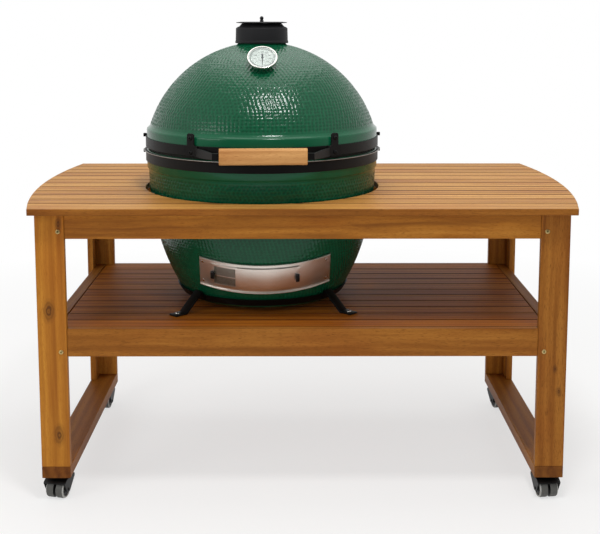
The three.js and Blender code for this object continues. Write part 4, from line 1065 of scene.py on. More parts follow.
def hinge_block(bm, low_z, high_z):
    """Adds a bracket's block, its near face curved to the band."""
    def follow(place):
        """Lays the near face on the band, and keeps the far one flat."""
        x, off, z = place
        reach = BAND_OUTER + off
        return Vector((x, math.sqrt(reach * reach - x * x) if off < 0.002 else BAND_OUTER + off, z))

    half = HINGE_BLOCK_HALF
    cuts = [(0, spaced(-half, half, 10)[1:-1])]
    block(bm, (-half, 0.0004, low_z), (half, HINGE_BLOCK_FAR, high_z), 0.0015, cuts=cuts, bend=follow)


for name, body, spread, up in (
    ("lower", MAIN_BODY, LOWER_SPREAD, False),
    ("upper", "lid", UPPER_SPREAD, True),
):
    node = f"{name}_hinge_bracket"
    band_low = UPPER_BAND_LOW if up else LOWER_BAND_LOW
    band_high = UPPER_BAND_TOP if up else lip_foot - SEAT_GAP
    bm = bmesh.new()
    hinge_block(bm, band_low, band_high)
    for sign in (-1, 1):
        ear(bm, sign * spread, band_low + 0.002, band_high - 0.002, up)
    for sign in (-1, 1):
        middle = (sign * HINGE_BOLT_X, BAND_OUTER + HINGE_BLOCK_FAR, (band_low + band_high) / 2)
        socket_bolt(bm, Matrix.Translation(middle) @ BACKWARD, BRACKET_BOLT, 0.0025)
    # The black nylon coat is painted shade in the bolts' sockets
    finished(bm, f"{name}_hinge", [powder_coat, black_nylon], body, [node], KAMADO)

bm = bmesh.new()
pin_half = LOWER_SPREAD + HINGE_EAR / 2 + SEAT_GAP
PIN_HEAD = 0.004
PIN_HEAD_RADIUS = 0.009
PIN_CHAMFER = 0.0012
PIN_END = pin_half + PIN_HEAD
on_axis = Matrix.Translation((0, HINGE_Y, HINGE_Z)) @ Matrix.Rotation(math.pi / 2, 4, "Y")
turned(bm, [
    (0, -PIN_END), (PIN_HEAD_RADIUS - PIN_CHAMFER, -PIN_END), (PIN_HEAD_RADIUS, -PIN_END + PIN_CHAMFER),
    (PIN_HEAD_RADIUS, -pin_half), (PIN_RADIUS, -pin_half),
    (PIN_RADIUS, pin_half), (PIN_HEAD_RADIUS, pin_half),
    (PIN_HEAD_RADIUS, PIN_END - PIN_CHAMFER), (PIN_HEAD_RADIUS - PIN_CHAMFER, PIN_END), (0, PIN_END),
], SMALL_ROUND, on_axis)
finished(bm, "hinge_pin_steel", [polished_steel], MAIN_BODY, ["hinge_pin"], KAMADO)

# The handle: a bar of pale wood between two sheet brackets that sweep out from the upper band
low_bar, high_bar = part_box("handle_bar")
HANDLE_LENGTH = 0.227
HANDLE_DEPTH = 0.032
HANDLE_CHAMFER = 0.009
HANDLE_REACH = 0.043
HANDLE_Y = -(BAND_OUTER + HANDLE_REACH)
HANDLE_Z = (low_bar.z + high_bar.z) / 2
HANDLE_HALF = (high_bar.z - low_bar.z) / 2
bm = wood_piece()
near = (-HANDLE_LENGTH / 2, HANDLE_Y - HANDLE_DEPTH / 2, HANDLE_Z - HANDLE_HALF)
far = (HANDLE_LENGTH / 2, HANDLE_Y + HANDLE_DEPTH / 2, HANDLE_Z + HANDLE_HALF)
board(bm, near, far, "x", 0)
long_edges = [e for e in bm.edges if abs(e.verts[0].co.x - e.verts[1].co.x) > HANDLE_LENGTH / 2]
bmesh.ops.bevel(
    bm, geom=long_edges, offset=HANDLE_CHAMFER, segments=3, profile=0.5, affect="EDGES", material=-1,
)
round_edges(bm, set(), 0.002, 2, math.radians(60))
finished(bm, "handle_grip", [handle_wood], "lid", ["handle_bar"], KAMADO, clean=False)

FOOT_ANGLE = math.radians(34.4)
SHEET = 0.004
ARM_HEIGHT = 0.024
FOOT_HALF = 0.022
CLIP_HALF = 0.0115
CLIP_RISE = 0.033
CLIP_FILLET = 0.003
CLIP_CORNER = 0.004
ARM_OVERHANG = 0.0163
ARM_EDGE = 0.0008
END_HALF = 0.009
foot_face = BAND_OUTER + SEAT_GAP
foot_low, foot_high = UPPER_BAND_LOW, UPPER_BAND_TOP
clip_top = foot_high + CLIP_RISE
for side, sign in (("left", -1), ("right", 1)):
    bm = bmesh.new()
    turn = Matrix.Rotation(sign * FOOT_ANGLE, 4, "Z")
    # The foot with its clip rising over the dome's rim, cut from one sheet
    foot_outline = [
        (-FOOT_HALF, foot_low), (FOOT_HALF, foot_low), (FOOT_HALF, foot_high),
        (CLIP_HALF + CLIP_FILLET, foot_high), (CLIP_HALF, foot_high + CLIP_FILLET),
        (CLIP_HALF, clip_top - CLIP_CORNER), (CLIP_HALF - CLIP_CORNER, clip_top),
        (-CLIP_HALF + CLIP_CORNER, clip_top), (-CLIP_HALF, clip_top - CLIP_CORNER),
        (-CLIP_HALF, foot_high + CLIP_FILLET), (-CLIP_HALF - CLIP_FILLET, foot_high),
        (-FOOT_HALF, foot_high),
    ]
    plate(bm, foot_outline, SHEET, turn @ Matrix.Translation((0, -foot_face, 0)) @ FORWARD, ARM_EDGE)
    for z in (foot_high + CLIP_RISE * 0.62, foot_low + 0.010):
        socket_bolt(bm, turn @ Matrix.Translation((0, -foot_face - SHEET, z)) @ FORWARD, BRACKET_BOLT, 0.003)
    # The arm: a sheet standing on edge from the foot to the bar's end, a little lower at the bar
    out = Vector((sign * math.sin(FOOT_ANGLE), -math.cos(FOOT_ANGLE), 0))
    inward = Vector((-sign * math.cos(FOOT_ANGLE), -math.sin(FOOT_ANGLE), 0))
    root = out * (foot_face + SHEET / 2) + inward * (FOOT_HALF - SHEET)
    tip = Vector((sign * (HANDLE_LENGTH / 2 + ARM_OVERHANG), HANDLE_Y, 0))
    run = tip - root
    length = run.length
    run.normalize()
    lay = Matrix((
        (run.x, 0, run.y, root.x), (run.y, 0, -run.x, root.y), (0, 1, 0, HANDLE_Z), (0, 0, 0, 1),
    ))
    half = ARM_HEIGHT / 2
    arm_outline = [
        (0, -half), (length * 0.5, -half * 0.94), (length, -half * 0.72), (length, half * 0.72),
        (length * 0.5, half * 0.94), (0, half),
    ]
    plate(bm, arm_outline, SHEET, lay @ Matrix.Translation((0, 0, -SHEET / 2)), ARM_EDGE)
    ends = sorted((sign * (HANDLE_LENGTH / 2 + SEAT_GAP), tip.x + sign * SHEET / 2))
    near = (ends[0], HANDLE_Y - SHEET, HANDLE_Z - END_HALF)
    block(bm, near, (ends[1], HANDLE_Y + SHEET, HANDLE_Z + END_HALF), 0.001)
    # The black nylon coat is painted shade in the bolts' sockets
    finished(bm, f"handle_wing_{side}", [powder_coat, black_nylon], "lid",
             [f"handle_bracket_{side}"], KAMADO)

# Thermometer: steel case with a white printed face, pointer and glass, leaning back out of the dome
DIAL_RADIUS = 0.041
DIAL_BACK = 0.031
DIAL_DEPTH = 0.0125
GLASS_RADIUS = 0.0375
FACE_DEPTH = -0.0013
DIAL_TOP = 0.0015
DIAL_OUT = 0.200
DIAL_RISE = 0.3025
DIAL_TILT = math.radians(44)
PROBE_END = 0.095
PROBE_RADIUS = 0.003
STEM_END = 0.0221
STEM_RADIUS = 0.008
CASE_STEP = 0.001
BEZEL_ROUND = 0.0015
BEZEL_EDGE = 0.0006
PRINT = 0.0001
TICK_OUTER = 0.0305
LONG_TICK = (0.0255, 0.00035)
SHORT_TICK = (0.0280, 0.0002)
PRINTED_RINGS = ((0.0340, 0.0012), (0.0312, 0.0004), (0.0130, 0.0004))
DIAL_START = math.radians(225)
DIAL_SWEEP = math.radians(270)
FIGURE_SIZE = 0.0058
FIGURE_REACH = 0.0205
at = Matrix.Translation((0, -DIAL_OUT, DOME_CENTRE + DIAL_RISE))
dial = KAMADO @ at @ Matrix.Rotation(DIAL_TILT, 4, "X")
bm = bmesh.new()
turned(bm, [
    (0.0, -PROBE_END), (PROBE_RADIUS, -PROBE_END), (PROBE_RADIUS, -STEM_END),
    (STEM_RADIUS, -STEM_END), (STEM_RADIUS, -DIAL_DEPTH), (DIAL_BACK, -DIAL_DEPTH),
    (DIAL_RADIUS - 2 * CASE_STEP, -DIAL_DEPTH / 2 - CASE_STEP),
    (DIAL_RADIUS, -DIAL_DEPTH / 2 + CASE_STEP),
    *arc((DIAL_RADIUS - BEZEL_ROUND, DIAL_TOP - BEZEL_ROUND), BEZEL_ROUND, 0.0, math.pi / 2, 5),
    (GLASS_RADIUS + BEZEL_EDGE, DIAL_TOP), (GLASS_RADIUS, DIAL_TOP - BEZEL_EDGE),
    (GLASS_RADIUS, FACE_DEPTH),
], 96)
known = set(bm.verts)
bmesh.ops.create_circle(
    bm, cap_ends=True, segments=96, radius=GLASS_RADIUS, matrix=Matrix.Translation((0, 0, FACE_DEPTH)),
)
paint(bm, known, 1)
TICKS = 40
TICKS_PER_FIGURE = 5
DEGREES_PER_TICK = 10
for i in range(TICKS + 1):
    angle = DIAL_START - DIAL_SWEEP * i / TICKS
    inner, half = SHORT_TICK if i % TICKS_PER_FIGURE else LONG_TICK
    far = (TICK_OUTER, half, FACE_DEPTH + PRINT)
    block(bm, (inner, -half, FACE_DEPTH), far, 0, Matrix.Rotation(angle, 4, "Z"), coat=2)
for radius, width in PRINTED_RINGS:
    turned(bm, [
        (radius, FACE_DEPTH), (radius, FACE_DEPTH + PRINT), (radius - width, FACE_DEPTH + PRINT),
        (radius - width, FACE_DEPTH), (radius, FACE_DEPTH),
    ], 96, coat=2)
finished(bm, "thermometer_dial", [polished_steel, dial_enamel, dial_print], "lid",
         ["thermometer_case"], dial)

figures = []
for i in range(0, TICKS + 1, TICKS_PER_FIGURE):
    angle = DIAL_START - DIAL_SWEEP * i / TICKS
    words = bpy.data.curves.new("figure", "FONT")
    words.body = str(i * DEGREES_PER_TICK)
    words.size = FIGURE_SIZE
    words.align_x = "CENTER"
    words.align_y = "CENTER"
    letters = bpy.data.objects.new("figure", words)
    bpy.context.scene.collection.objects.link(letters)
    flat = bpy.data.meshes.new_from_object(letters.evaluated_get(bpy.context.evaluated_depsgraph_get()))
    bpy.data.objects.remove(letters)
    spot = (FIGURE_REACH * math.cos(angle), FIGURE_REACH * math.sin(angle), FACE_DEPTH + PRINT * 1.5)
    flat.transform(dial @ Matrix.Translation(spot))
    figures.append(flat)
bm = bmesh.new()
for flat in figures:
    bm.from_mesh(flat)
finished(bm, "dial_figures", [dial_print], "lid", clean=False)

NEEDLE_LENGTH = 0.029
NEEDLE_TAIL = 0.014
NEEDLE_THICKNESS = 0.0007
POINT_HALF = 0.0006
WAIST_HALF = 0.0013
TAIL_HALF = 0.0022
NEEDLE_HUB = 0.0032
HUB_TOP = 0.0010
bm = bmesh.new()
needle_low = FACE_DEPTH + SEAT_GAP
plate(bm, [
    (-WAIST_HALF, 0), (-POINT_HALF, -NEEDLE_LENGTH), (POINT_HALF, -NEEDLE_LENGTH), (WAIST_HALF, 0),
    (TAIL_HALF, NEEDLE_TAIL), (-TAIL_HALF, NEEDLE_TAIL),
], NEEDLE_THICKNESS, Matrix.Translation((0, 0, needle_low)), 0.0001)
turned(bm, [
    (0, needle_low), (NEEDLE_HUB, needle_low), (NEEDLE_HUB - 0.0004, needle_low + HUB_TOP - 0.0001),
    (0, needle_low + HUB_TOP),
], 24)
coats = [needle_lacquer]
finished(bm, "thermometer_pointer", coats, "needle", ["thermometer_needle"], dial)

LENS_RADIUS = GLASS_RADIUS - SEAT_GAP
LENS_LOW = 0.0003
LENS_TOP = 0.0012
bm = bmesh.new()
turned(bm, [
    (0, LENS_LOW), (LENS_RADIUS - 0.0002, LENS_LOW), (LENS_RADIUS, LENS_LOW + 0.0002),
    (LENS_RADIUS, LENS_TOP - 0.0003), (LENS_RADIUS - 0.0004, LENS_TOP), (0, LENS_TOP),
], 96)
finished(bm, "thermometer_glass", [dial_glass], "lid", ["thermometer_lens"], dial)

# The chimney cap: a hollow casting, a damper disc with five holes, and its knob
HOLE_COUNT = 5
VENT_RADIUS = 0.009
VENT_PITCH = 0.034
VENT_OVERRUN = 0.01


def vents(piece, z0, z1, turn):
    """Cuts the smoke holes through a piece of the cap, between two heights."""
    for i in range(HOLE_COUNT):
        angle = turn + math.tau * i / HOLE_COUNT
        bm = bmesh.new()
        spot = (VENT_PITCH * math.cos(angle), VENT_PITCH * math.sin(angle), (z0 + z1) / 2)
        bmesh.ops.create_cone(
            bm, cap_ends=True, segments=32, radius1=VENT_RADIUS, radius2=VENT_RADIUS, depth=z1 - z0,
            matrix=KAMADO @ Matrix.Translation(spot),
        )
        cut_out(piece, bm)


CAP_BOTTOM, CAP_TOP = [corner.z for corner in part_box("cap_body")]
CAP_RADIUS = 0.0763
CAP_ROOF = 0.006
CAP_CLEARANCE = 0.0008
SHOULDER_HEIGHT = 0.043
SHOULDER_RADIUS = 0.0742
SHOULDER_ROUND = 0.002
SEAT_RADIUS = 0.0575
IRON_CREASE = 28
cap_ceiling = NECK_TOP + SEAT_GAP
cap_inner = NECK_RADIUS + CAP_CLEARANCE
shoulder = CAP_BOTTOM + SHOULDER_HEIGHT
bm = bmesh.new()
turned(bm, [
    # The hollow that sits on the neck
    (0.0, CAP_TOP - CAP_ROOF), (NECK_BORE, CAP_TOP - CAP_ROOF), (NECK_BORE, cap_ceiling),
    (cap_inner, cap_ceiling), (cap_inner, CAP_BOTTOM),
    # The skirt with its rolled foot
    (CAP_RADIUS - 0.0008, CAP_BOTTOM), (CAP_RADIUS, CAP_BOTTOM + 0.001),
    (CAP_RADIUS - 0.0002, CAP_BOTTOM + 0.006), (CAP_RADIUS - 0.0012, CAP_BOTTOM + 0.0075),
    (SHOULDER_RADIUS, shoulder - 0.002),
    # The rounded shoulder, and the step up to the seat of the damper
    *arc((SHOULDER_RADIUS - 0.0022, shoulder - 0.001), SHOULDER_ROUND, 0.0, math.pi / 2, 5),
    (SHOULDER_RADIUS - 0.0062, shoulder + 0.0037), (SHOULDER_RADIUS - 0.0087, shoulder + 0.0040),
    (SHOULDER_RADIUS - 0.0102, shoulder + 0.0055),
    (SEAT_RADIUS, CAP_TOP - 0.0006), (SEAT_RADIUS - 0.001, CAP_TOP), (0.0, CAP_TOP),
], 96)
cap = finished(bm, "iron_cap", [cast_iron], "lid", ["cap_body"], KAMADO, IRON_CREASE)
vents(cap, CAP_TOP - 2 * VENT_OVERRUN, CAP_TOP + VENT_OVERRUN, math.pi / HOLE_COUNT)

disc_low, disc_high = [corner.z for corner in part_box("damper_disc")]
DISC_RADIUS = 0.073
DISC_EDGE = 0.001
DISC_BORE = 0.0033
bm = bmesh.new()
turned(bm, [
    (DISC_BORE, disc_low), (SEAT_RADIUS - 0.0005, disc_low), (DISC_RADIUS - DISC_EDGE, disc_low + 0.0012),
    *arc((DISC_RADIUS - DISC_EDGE, disc_low + 0.0022), DISC_EDGE, -math.pi / 2, math.pi / 2, 5),
    (0.062, disc_high - 0.0004), (0.060, disc_high), (DISC_BORE, disc_high), (DISC_BORE, disc_low),
], 96)
coats = [cast_iron]
damper = finished(bm, "iron_damper", coats, "damper", ["damper_disc"], KAMADO, IRON_CREASE)
vents(damper, disc_low - VENT_OVERRUN, disc_high + VENT_OVERRUN, 0.0)

knob_low, knob_high = [corner.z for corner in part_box("damper_knob")]
knob_foot = disc_high + SEAT_GAP
KNOB_STEM = 0.003
KNOB_NECK = 0.0044
KNOB_BALL = 0.0055
bm = bmesh.new()
turned(bm, [
    (0.0, knob_low), (KNOB_STEM, knob_low), (KNOB_STEM, knob_foot), (KNOB_BALL - 0.0005, knob_foot),
    (KNOB_BALL, knob_foot + 0.0006), (KNOB_BALL, knob_foot + 0.003), (KNOB_NECK, knob_foot + 0.0042),
    (KNOB_NECK, knob_foot + 0.0062), *arc((0.0, knob_high - KNOB_BALL), KNOB_BALL, -0.25, math.pi / 2, 8),
], SMALL_ROUND)
finished(bm, "iron_knob", [cast_iron], "damper", ["damper_knob"], KAMADO)

# The draft door: a bent stainless plate with rolled lips, a screen door and a solid door that slide on it
PLATE_LEFT = -0.174
PLATE_RIGHT = 0.184
PLATE_HEIGHT = 0.095
PLATE_NEAR = 0.0003
PLATE_FAR = 0.0023
PLATE_LIP = 0.007
LIP_WIDTH = 0.0025
WINDOW_MARGIN = 0.006
WINDOW_LEFT = DRAFT_LEFT - WINDOW_MARGIN
WINDOW_RIGHT = DRAFT_RIGHT + WINDOW_MARGIN
DOOR_HEIGHT = 0.070
SCREEN_NEAR = 0.0030
SCREEN_FAR = 0.0044
SOLID_NEAR = 0.0051
SOLID_FAR = 0.0065
TAB_HALF = 0.0105
TAB_WIDTH = 0.010
TAB_REACH = 0.009
TAB_SUNK = 0.0002
TAB_EDGE = 0.0015
RIVET_LIFT = 0.032
RIVET_LEFT = 0.009
RIVET_RIGHT = 0.011
STRIP_STEP = 0.008


def strip_box(bm, x0, x1, low, high, near, far, edge=THIN_EDGE, coat=0, step=STRIP_STEP):
    """Adds a bar or sheet bent round the base, and with the curve of its wall."""
    cuts = [
        (0, spaced(x0, x1, max(2, round((x1 - x0) / step)))[1:-1]),
        (2, spaced(low, high, max(1, round((high - low) / STRIP_STEP)))[1:-1]),
    ]
    return block(bm, (x0, near, low), (x1, far, high), edge, cuts=cuts, bend=on_base, coat=coat)


half = PLATE_HEIGHT / 2
window = DRAFT_HEIGHT / 2
bm = bmesh.new()
strip_box(bm, PLATE_LEFT, WINDOW_LEFT, -half, half, PLATE_NEAR, PLATE_FAR)
strip_box(bm, WINDOW_RIGHT, PLATE_RIGHT, -half, half, PLATE_NEAR, PLATE_FAR)
strip_box(bm, WINDOW_LEFT, WINDOW_RIGHT, window, half, PLATE_NEAR, PLATE_FAR, 0)
strip_box(bm, WINDOW_LEFT, WINDOW_RIGHT, -half, -window, PLATE_NEAR, PLATE_FAR, 0)
for low, high in ((half - LIP_WIDTH, half), (-half, -half + LIP_WIDTH)):
    strip_box(bm, PLATE_LEFT, PLATE_RIGHT, low, high, PLATE_NEAR, PLATE_LIP, 0.0008)
for x in (PLATE_LEFT + RIVET_LEFT, PLATE_RIGHT - RIVET_RIGHT):
    for lift in (-RIVET_LIFT, RIVET_LIFT):
        at = on_base((x, PLATE_FAR, lift))
        across = on_base((x + 0.001, PLATE_FAR, lift)) - at
        up = on_base((x, PLATE_FAR, lift + 0.001)) - at
        out = across.cross(up).normalized()
        place = Matrix.Translation(at) @ out.to_track_quat("Z", "Y").to_matrix().to_4x4()
        rivet = [(0, -0.001), (0.0042, -0.001), (0.0042, 0.0001), (0.0036, 0.0004), (0, 0.0004)]
        turned(bm, rivet, 20, place, coat=1)
coats = [brushed_steel, polished_steel]
finished(bm, "draft_plate", coats, MAIN_BODY, ["draft_frame"], KAMADO)

SCREEN_LEFT = WINDOW_LEFT - TAB_WIDTH
SCREEN_RIGHT = 0.044
SCREEN_BAR = -0.055
SCREEN_FRAME = 0.006
PANE = (DOOR_HEIGHT - 2 * SCREEN_FRAME - SCREEN_FRAME / 2) / 2
WIRE = 0.0007
WIRE_PITCH = 0.0022
WIRE_STEP = 0.018
door = DOOR_HEIGHT / 2
bm = bmesh.new()
for low, high in (
    (door - SCREEN_FRAME, door), (-SCREEN_FRAME / 4, SCREEN_FRAME / 4), (-door, -door + SCREEN_FRAME),
):
    strip_box(bm, SCREEN_LEFT, SCREEN_RIGHT, low, high, SCREEN_NEAR, SCREEN_FAR, 0.0002)
for x0, x1 in (
    (SCREEN_LEFT, WINDOW_LEFT), (SCREEN_BAR - SCREEN_FRAME / 2, SCREEN_BAR + SCREEN_FRAME / 2),
    (SCREEN_RIGHT - SCREEN_FRAME, SCREEN_RIGHT),
):
    strip_box(bm, x0, x1, -door, door, SCREEN_NEAR, SCREEN_FAR - 0.0001, 0.0002)
middle = (SCREEN_NEAR + SCREEN_FAR) / 2
x = WINDOW_LEFT + WIRE_PITCH
pane_end = SCREEN_RIGHT - SCREEN_FRAME
wire_top = door - SCREEN_FRAME
cuts = [(2, spaced(-wire_top, wire_top, 5)[1:-1])]
while x < pane_end:
    near, far = (x - WIRE / 2, middle - WIRE, -wire_top), (x + WIRE / 2, middle, wire_top)
    block(bm, near, far, 0, cuts=cuts, bend=on_base, coat=1)
    x += WIRE_PITCH
for bottom in (-wire_top, SCREEN_FRAME / 4):
    lift = bottom + WIRE_PITCH / 2
    while lift < bottom + PANE:
        low, high = lift - WIRE / 2, lift + WIRE / 2
        strip_box(bm, WINDOW_LEFT, pane_end, low, high, middle, middle + WIRE, 0, 1, WIRE_STEP)
        lift += WIRE_PITCH
near, far = SCREEN_FAR - TAB_SUNK, SCREEN_FAR + TAB_REACH
strip_box(bm, SCREEN_LEFT, WINDOW_LEFT, -TAB_HALF, TAB_HALF, near, far, TAB_EDGE, 2)
finished(bm, "screen_draft_door", [brushed_steel, wire_steel, black_nylon], "screen_door",
         ["draft_screen_door"], KAMADO, clean=False)

SOLID_LEFT = -0.076
SOLID_RIGHT = 0.098
bm = bmesh.new()
strip_box(bm, SOLID_LEFT, SOLID_RIGHT, -door, door, SOLID_NEAR, SOLID_FAR, 0.0004)
near, far = SOLID_FAR - TAB_SUNK, SOLID_FAR + TAB_REACH
strip_box(bm, SOLID_RIGHT - TAB_WIDTH, SOLID_RIGHT, -TAB_HALF, TAB_HALF, near, far, TAB_EDGE, 1)
coats = [brushed_steel, black_nylon]
finished(bm, "solid_draft_door", coats, "solid_door", ["draft_solid_door"], KAMADO)

# The nest: a band round the foot of the base, and four straps bent out and down to the shelf
NEST_LOW = BASE_BOTTOM + 0.010
NEST_HIGH = BASE_BOTTOM + 0.030
NEST_PLATE = 0.005
NEST_STRAP = 0.030
NEST_BOLT_OUT = 0.333
STRAP_END = 0.350
STRAP_BEND = 0.312
SHOULDER_RISE = 0.051
SHOULDER_OFF = 0.0075
STRAPS = 4
SHELF_TOP = high_shelf.z
bm = bmesh.new()
levels = spaced(NEST_LOW, NEST_HIGH, 4)
turned(bm, [
    *[(egg_radius(FOOT) - (FOOT - z) * math.tan(lean) + SEAT_GAP + NEST_PLATE, z) for z in levels],
    *[(egg_radius(FOOT) - (FOOT - z) * math.tan(lean) + SEAT_GAP, z) for z in reversed(levels)],
    (egg_radius(FOOT) - (FOOT - NEST_LOW) * math.tan(lean) + SEAT_GAP + NEST_PLATE, NEST_LOW),
], ROUND, edge=0.0008)
shoulder_z = SHELF_TOP + SHOULDER_RISE
band_middle = (NEST_LOW + NEST_HIGH) / 2
path = [
    Vector((STRAP_END, SHELF_TOP + NEST_PLATE / 2)),
    Vector((STRAP_BEND, SHELF_TOP + NEST_PLATE / 2)),
    Vector((egg_radius(shoulder_z) + SHOULDER_OFF, shoulder_z)),
    Vector((egg_radius(band_middle) + NEST_PLATE, band_middle)),
]


def strap_outline(points, thickness):
    """The outline of a strap of even thickness along a bent line, mitred at its bends."""
    near, far = [], []
    for i, point in enumerate(points):
        into = (point - points[i - 1]).normalized() if i else (points[1] - point).normalized()
        out = (points[i + 1] - point).normalized() if i < len(points) - 1 else into
        along = (into + out).normalized()
        reach = thickness / 2 / along.dot(into)
        across = Vector((along.y, -along.x)) * reach
        near.append(point + across)
        far.append(point - across)
    return near + far[::-1]


STRAP_AXES = Matrix(((0, 0, 1, 0), (-1, 0, 0, 0), (0, 1, 0, 0), (0, 0, 0, 1)))
strap = [tuple(point) for point in strap_outline(path, NEST_PLATE)]
for i in range(STRAPS):
    turn = Matrix.Rotation(math.tau * (i + 0.5) / STRAPS + math.pi / 2, 4, "Z")
    plate(bm, strap, NEST_STRAP, turn @ Matrix.Translation((-NEST_STRAP / 2, 0, 0)) @ STRAP_AXES, 0.0012)
    spot = (0, -NEST_BOLT_OUT, SHELF_TOP + NEST_PLATE)
    socket_bolt(bm, turn @ Matrix.Translation(spot), BOLT_RADIUS, 0.0032, 1)
# The black nylon coat is painted shade in the bolts' sockets
coats = [powder_coat, polished_steel, black_nylon]
finished(bm, "nest_straps", coats, MAIN_BODY, ["nest"], KAMADO, crease=30)

# Casters: a plate, a hood that swivels under it, and a twin wheel with a tread on each half
TRAIL = 0.016
YAWS = {"front_left": -14, "front_right": 8, "rear_left": -5, "rear_right": 12}
WHEEL_WIDTH = 0.023
TREAD_RADIUS = 0.0235
RING_INNER = 0.019
PLATE_HALF = 0.028
PLATE_BOLT = 0.021
PLATE_LOW = 0.063
PLATE_TOP = 0.066
KINGPIN_RADIUS = 0.006
KINGPIN_LOW = 0.054
AXLE_HALF = 0.033
AXLE_RADIUS = 0.004
AXLE_CHAMFER = 0.0004
BOSS = 0.0075
CROWN = 0.0557
HOOD_RADIUS = 0.0305
HOOD_HOLLOW = 0.0272
HOOD_START = math.radians(62)
CHEEK_START = math.radians(72)
HOOD_END = math.radians(138)
HUB_RADIUS = 0.022
WHEEL_INNER = 0.003
AXLE_Z = 0.02452
FORK_HALF = 0.0315
FORK_INNER = 0.028
ALONG_X = Matrix.Rotation(math.pi / 2, 4, "Y")
for corner, yaw in YAWS.items():
    low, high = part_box(f"caster_plate_{corner}")
    centre = Matrix.Translation(((low.x + high.x) / 2, (low.y + high.y) / 2, 0))
    swivel = centre @ Matrix.Rotation(math.radians(yaw), 4, "Z")

    bm = bmesh.new()
    block(bm, (-PLATE_HALF, -PLATE_HALF, PLATE_LOW), (PLATE_HALF, PLATE_HALF, PLATE_TOP), 0.0012)
    pin_top = PLATE_LOW + 0.0005
    turned(bm, [
        (0, KINGPIN_LOW), (KINGPIN_RADIUS, KINGPIN_LOW), (KINGPIN_RADIUS, pin_top), (0, pin_top),
    ], 20)
    for x in (-PLATE_BOLT, PLATE_BOLT):
        for y in (-PLATE_BOLT, PLATE_BOLT):
            place = Matrix.Translation((x, y, PLATE_LOW)) @ Matrix.Rotation(math.pi, 4, "X")
            socket_bolt(bm, place, 0.0042, 0.0022)
    # The black nylon coat is painted shade in the bolts' sockets
    finished(bm, f"caster_plate_steel_{corner}", [powder_coat, black_nylon], MAIN_BODY,
             [f"caster_plate_{corner}"], centre)

    # The hood: a moulded arch over both wheels, hollowed for them
    bm = bmesh.new()
    hood_arc = arc((-TRAIL, AXLE_Z), HOOD_RADIUS, CHEEK_START, HOOD_END, 10)
    outline = [
        (-TRAIL - BOSS, AXLE_Z - BOSS), (-TRAIL + BOSS, AXLE_Z - BOSS), (HUB_RADIUS, CROWN - BOSS),
        (HUB_RADIUS, CROWN), *[(y, min(z, CROWN)) for y, z in hood_arc],
    ]
    for sign in (-1, 1):
        ends = sorted((sign * FORK_INNER, sign * FORK_HALF))
        plate(bm, outline, ends[1] - ends[0], Matrix.Translation((ends[0], 0, 0)) @ SIDEWAYS, 0.0008)
    roof = [(HUB_RADIUS, CROWN), (HUB_RADIUS, CROWN - BOSS), (KINGPIN_RADIUS, CROWN - 0.004)]
    inner_arc = arc((-TRAIL, AXLE_Z), HOOD_HOLLOW, HOOD_START, HOOD_END, 10)
    outer_arc = arc((-TRAIL, AXLE_Z), HOOD_RADIUS, HOOD_END, HOOD_START, 10)
    outline = [*roof, *inner_arc, *[(y, min(z, CROWN)) for y, z in outer_arc]]
    left = Matrix.Translation((-FORK_HALF + SEAT_GAP, 0, 0))
    plate(bm, outline, (FORK_HALF - SEAT_GAP) * 2, left @ SIDEWAYS, 0.0006)
    hub_foot, hub_top = CROWN - 0.001, PLATE_LOW - SEAT_GAP
    hub_bore = KINGPIN_RADIUS + SEAT_GAP
    turned(bm, [
        (hub_bore, hub_foot), (HUB_RADIUS, hub_foot), (HUB_RADIUS, hub_top - 0.001),
        (HUB_RADIUS - 0.0008, hub_top), (hub_bore, hub_top), (hub_bore, hub_foot),
    ], SMALL_ROUND)
    finished(bm, f"caster_hood_{corner}", [black_nylon], f"swivel_{corner}",
             [f"caster_fork_{corner}"], swivel, clean=False)

    bm = bmesh.new()
    axle = Matrix.Translation((0, -TRAIL, AXLE_Z)) @ ALONG_X
    outer = WHEEL_INNER + WHEEL_WIDTH
    for sign in (-1, 1):
        profile = [
            (0.0, WHEEL_INNER), (0.019, WHEEL_INNER), (0.0235, WHEEL_INNER + 0.0005),
            (0.0244, WHEEL_INNER + 0.002), (0.0244, outer - 0.006), (0.0240, outer - 0.0035),
            (0.0226, outer - 0.0015), (0.0205, outer - 0.0006), (0.0196, outer - 0.0010),
            (0.0188, outer - 0.0030), (0.0120, outer - 0.0036), (0.0095, outer - 0.0008),
            (0.0060, outer - 0.0004), (0.0060, outer), (0.0, outer),
        ]
        known = turned(bm, profile, 40, axle @ Matrix.Diagonal((1, 1, sign, 1)))
        # Each half's outer bevel takes the pale coat: a painted reflection along the wheel's edge
        for face in since(bm, known)[2]:
            local = axle.inverted() @ face.calc_center_median()
            radial = math.hypot(local.x, local.y)
            at_side = abs(local.z) > outer - 0.004
            if radial > TREAD_RADIUS:
                face.material_index = 1
            else:
                face.material_index = 2 if radial > RING_INNER and at_side else 0
    axle_side = AXLE_HALF - AXLE_CHAMFER
    turned(bm, [
        (0, -AXLE_HALF), (AXLE_RADIUS - AXLE_CHAMFER, -AXLE_HALF), (AXLE_RADIUS, -axle_side),
        (AXLE_RADIUS, axle_side), (AXLE_RADIUS - AXLE_CHAMFER, AXLE_HALF), (0, AXLE_HALF),
    ], 20, axle, coat=3)
    coats = [black_nylon, tyre_grey, wheel_edge_highlight, powder_coat]
    finished(bm, f"caster_twin_wheel_{corner}", coats, f"wheel_{corner}",
             [f"caster_wheel_{corner}"], swivel, clean=False)

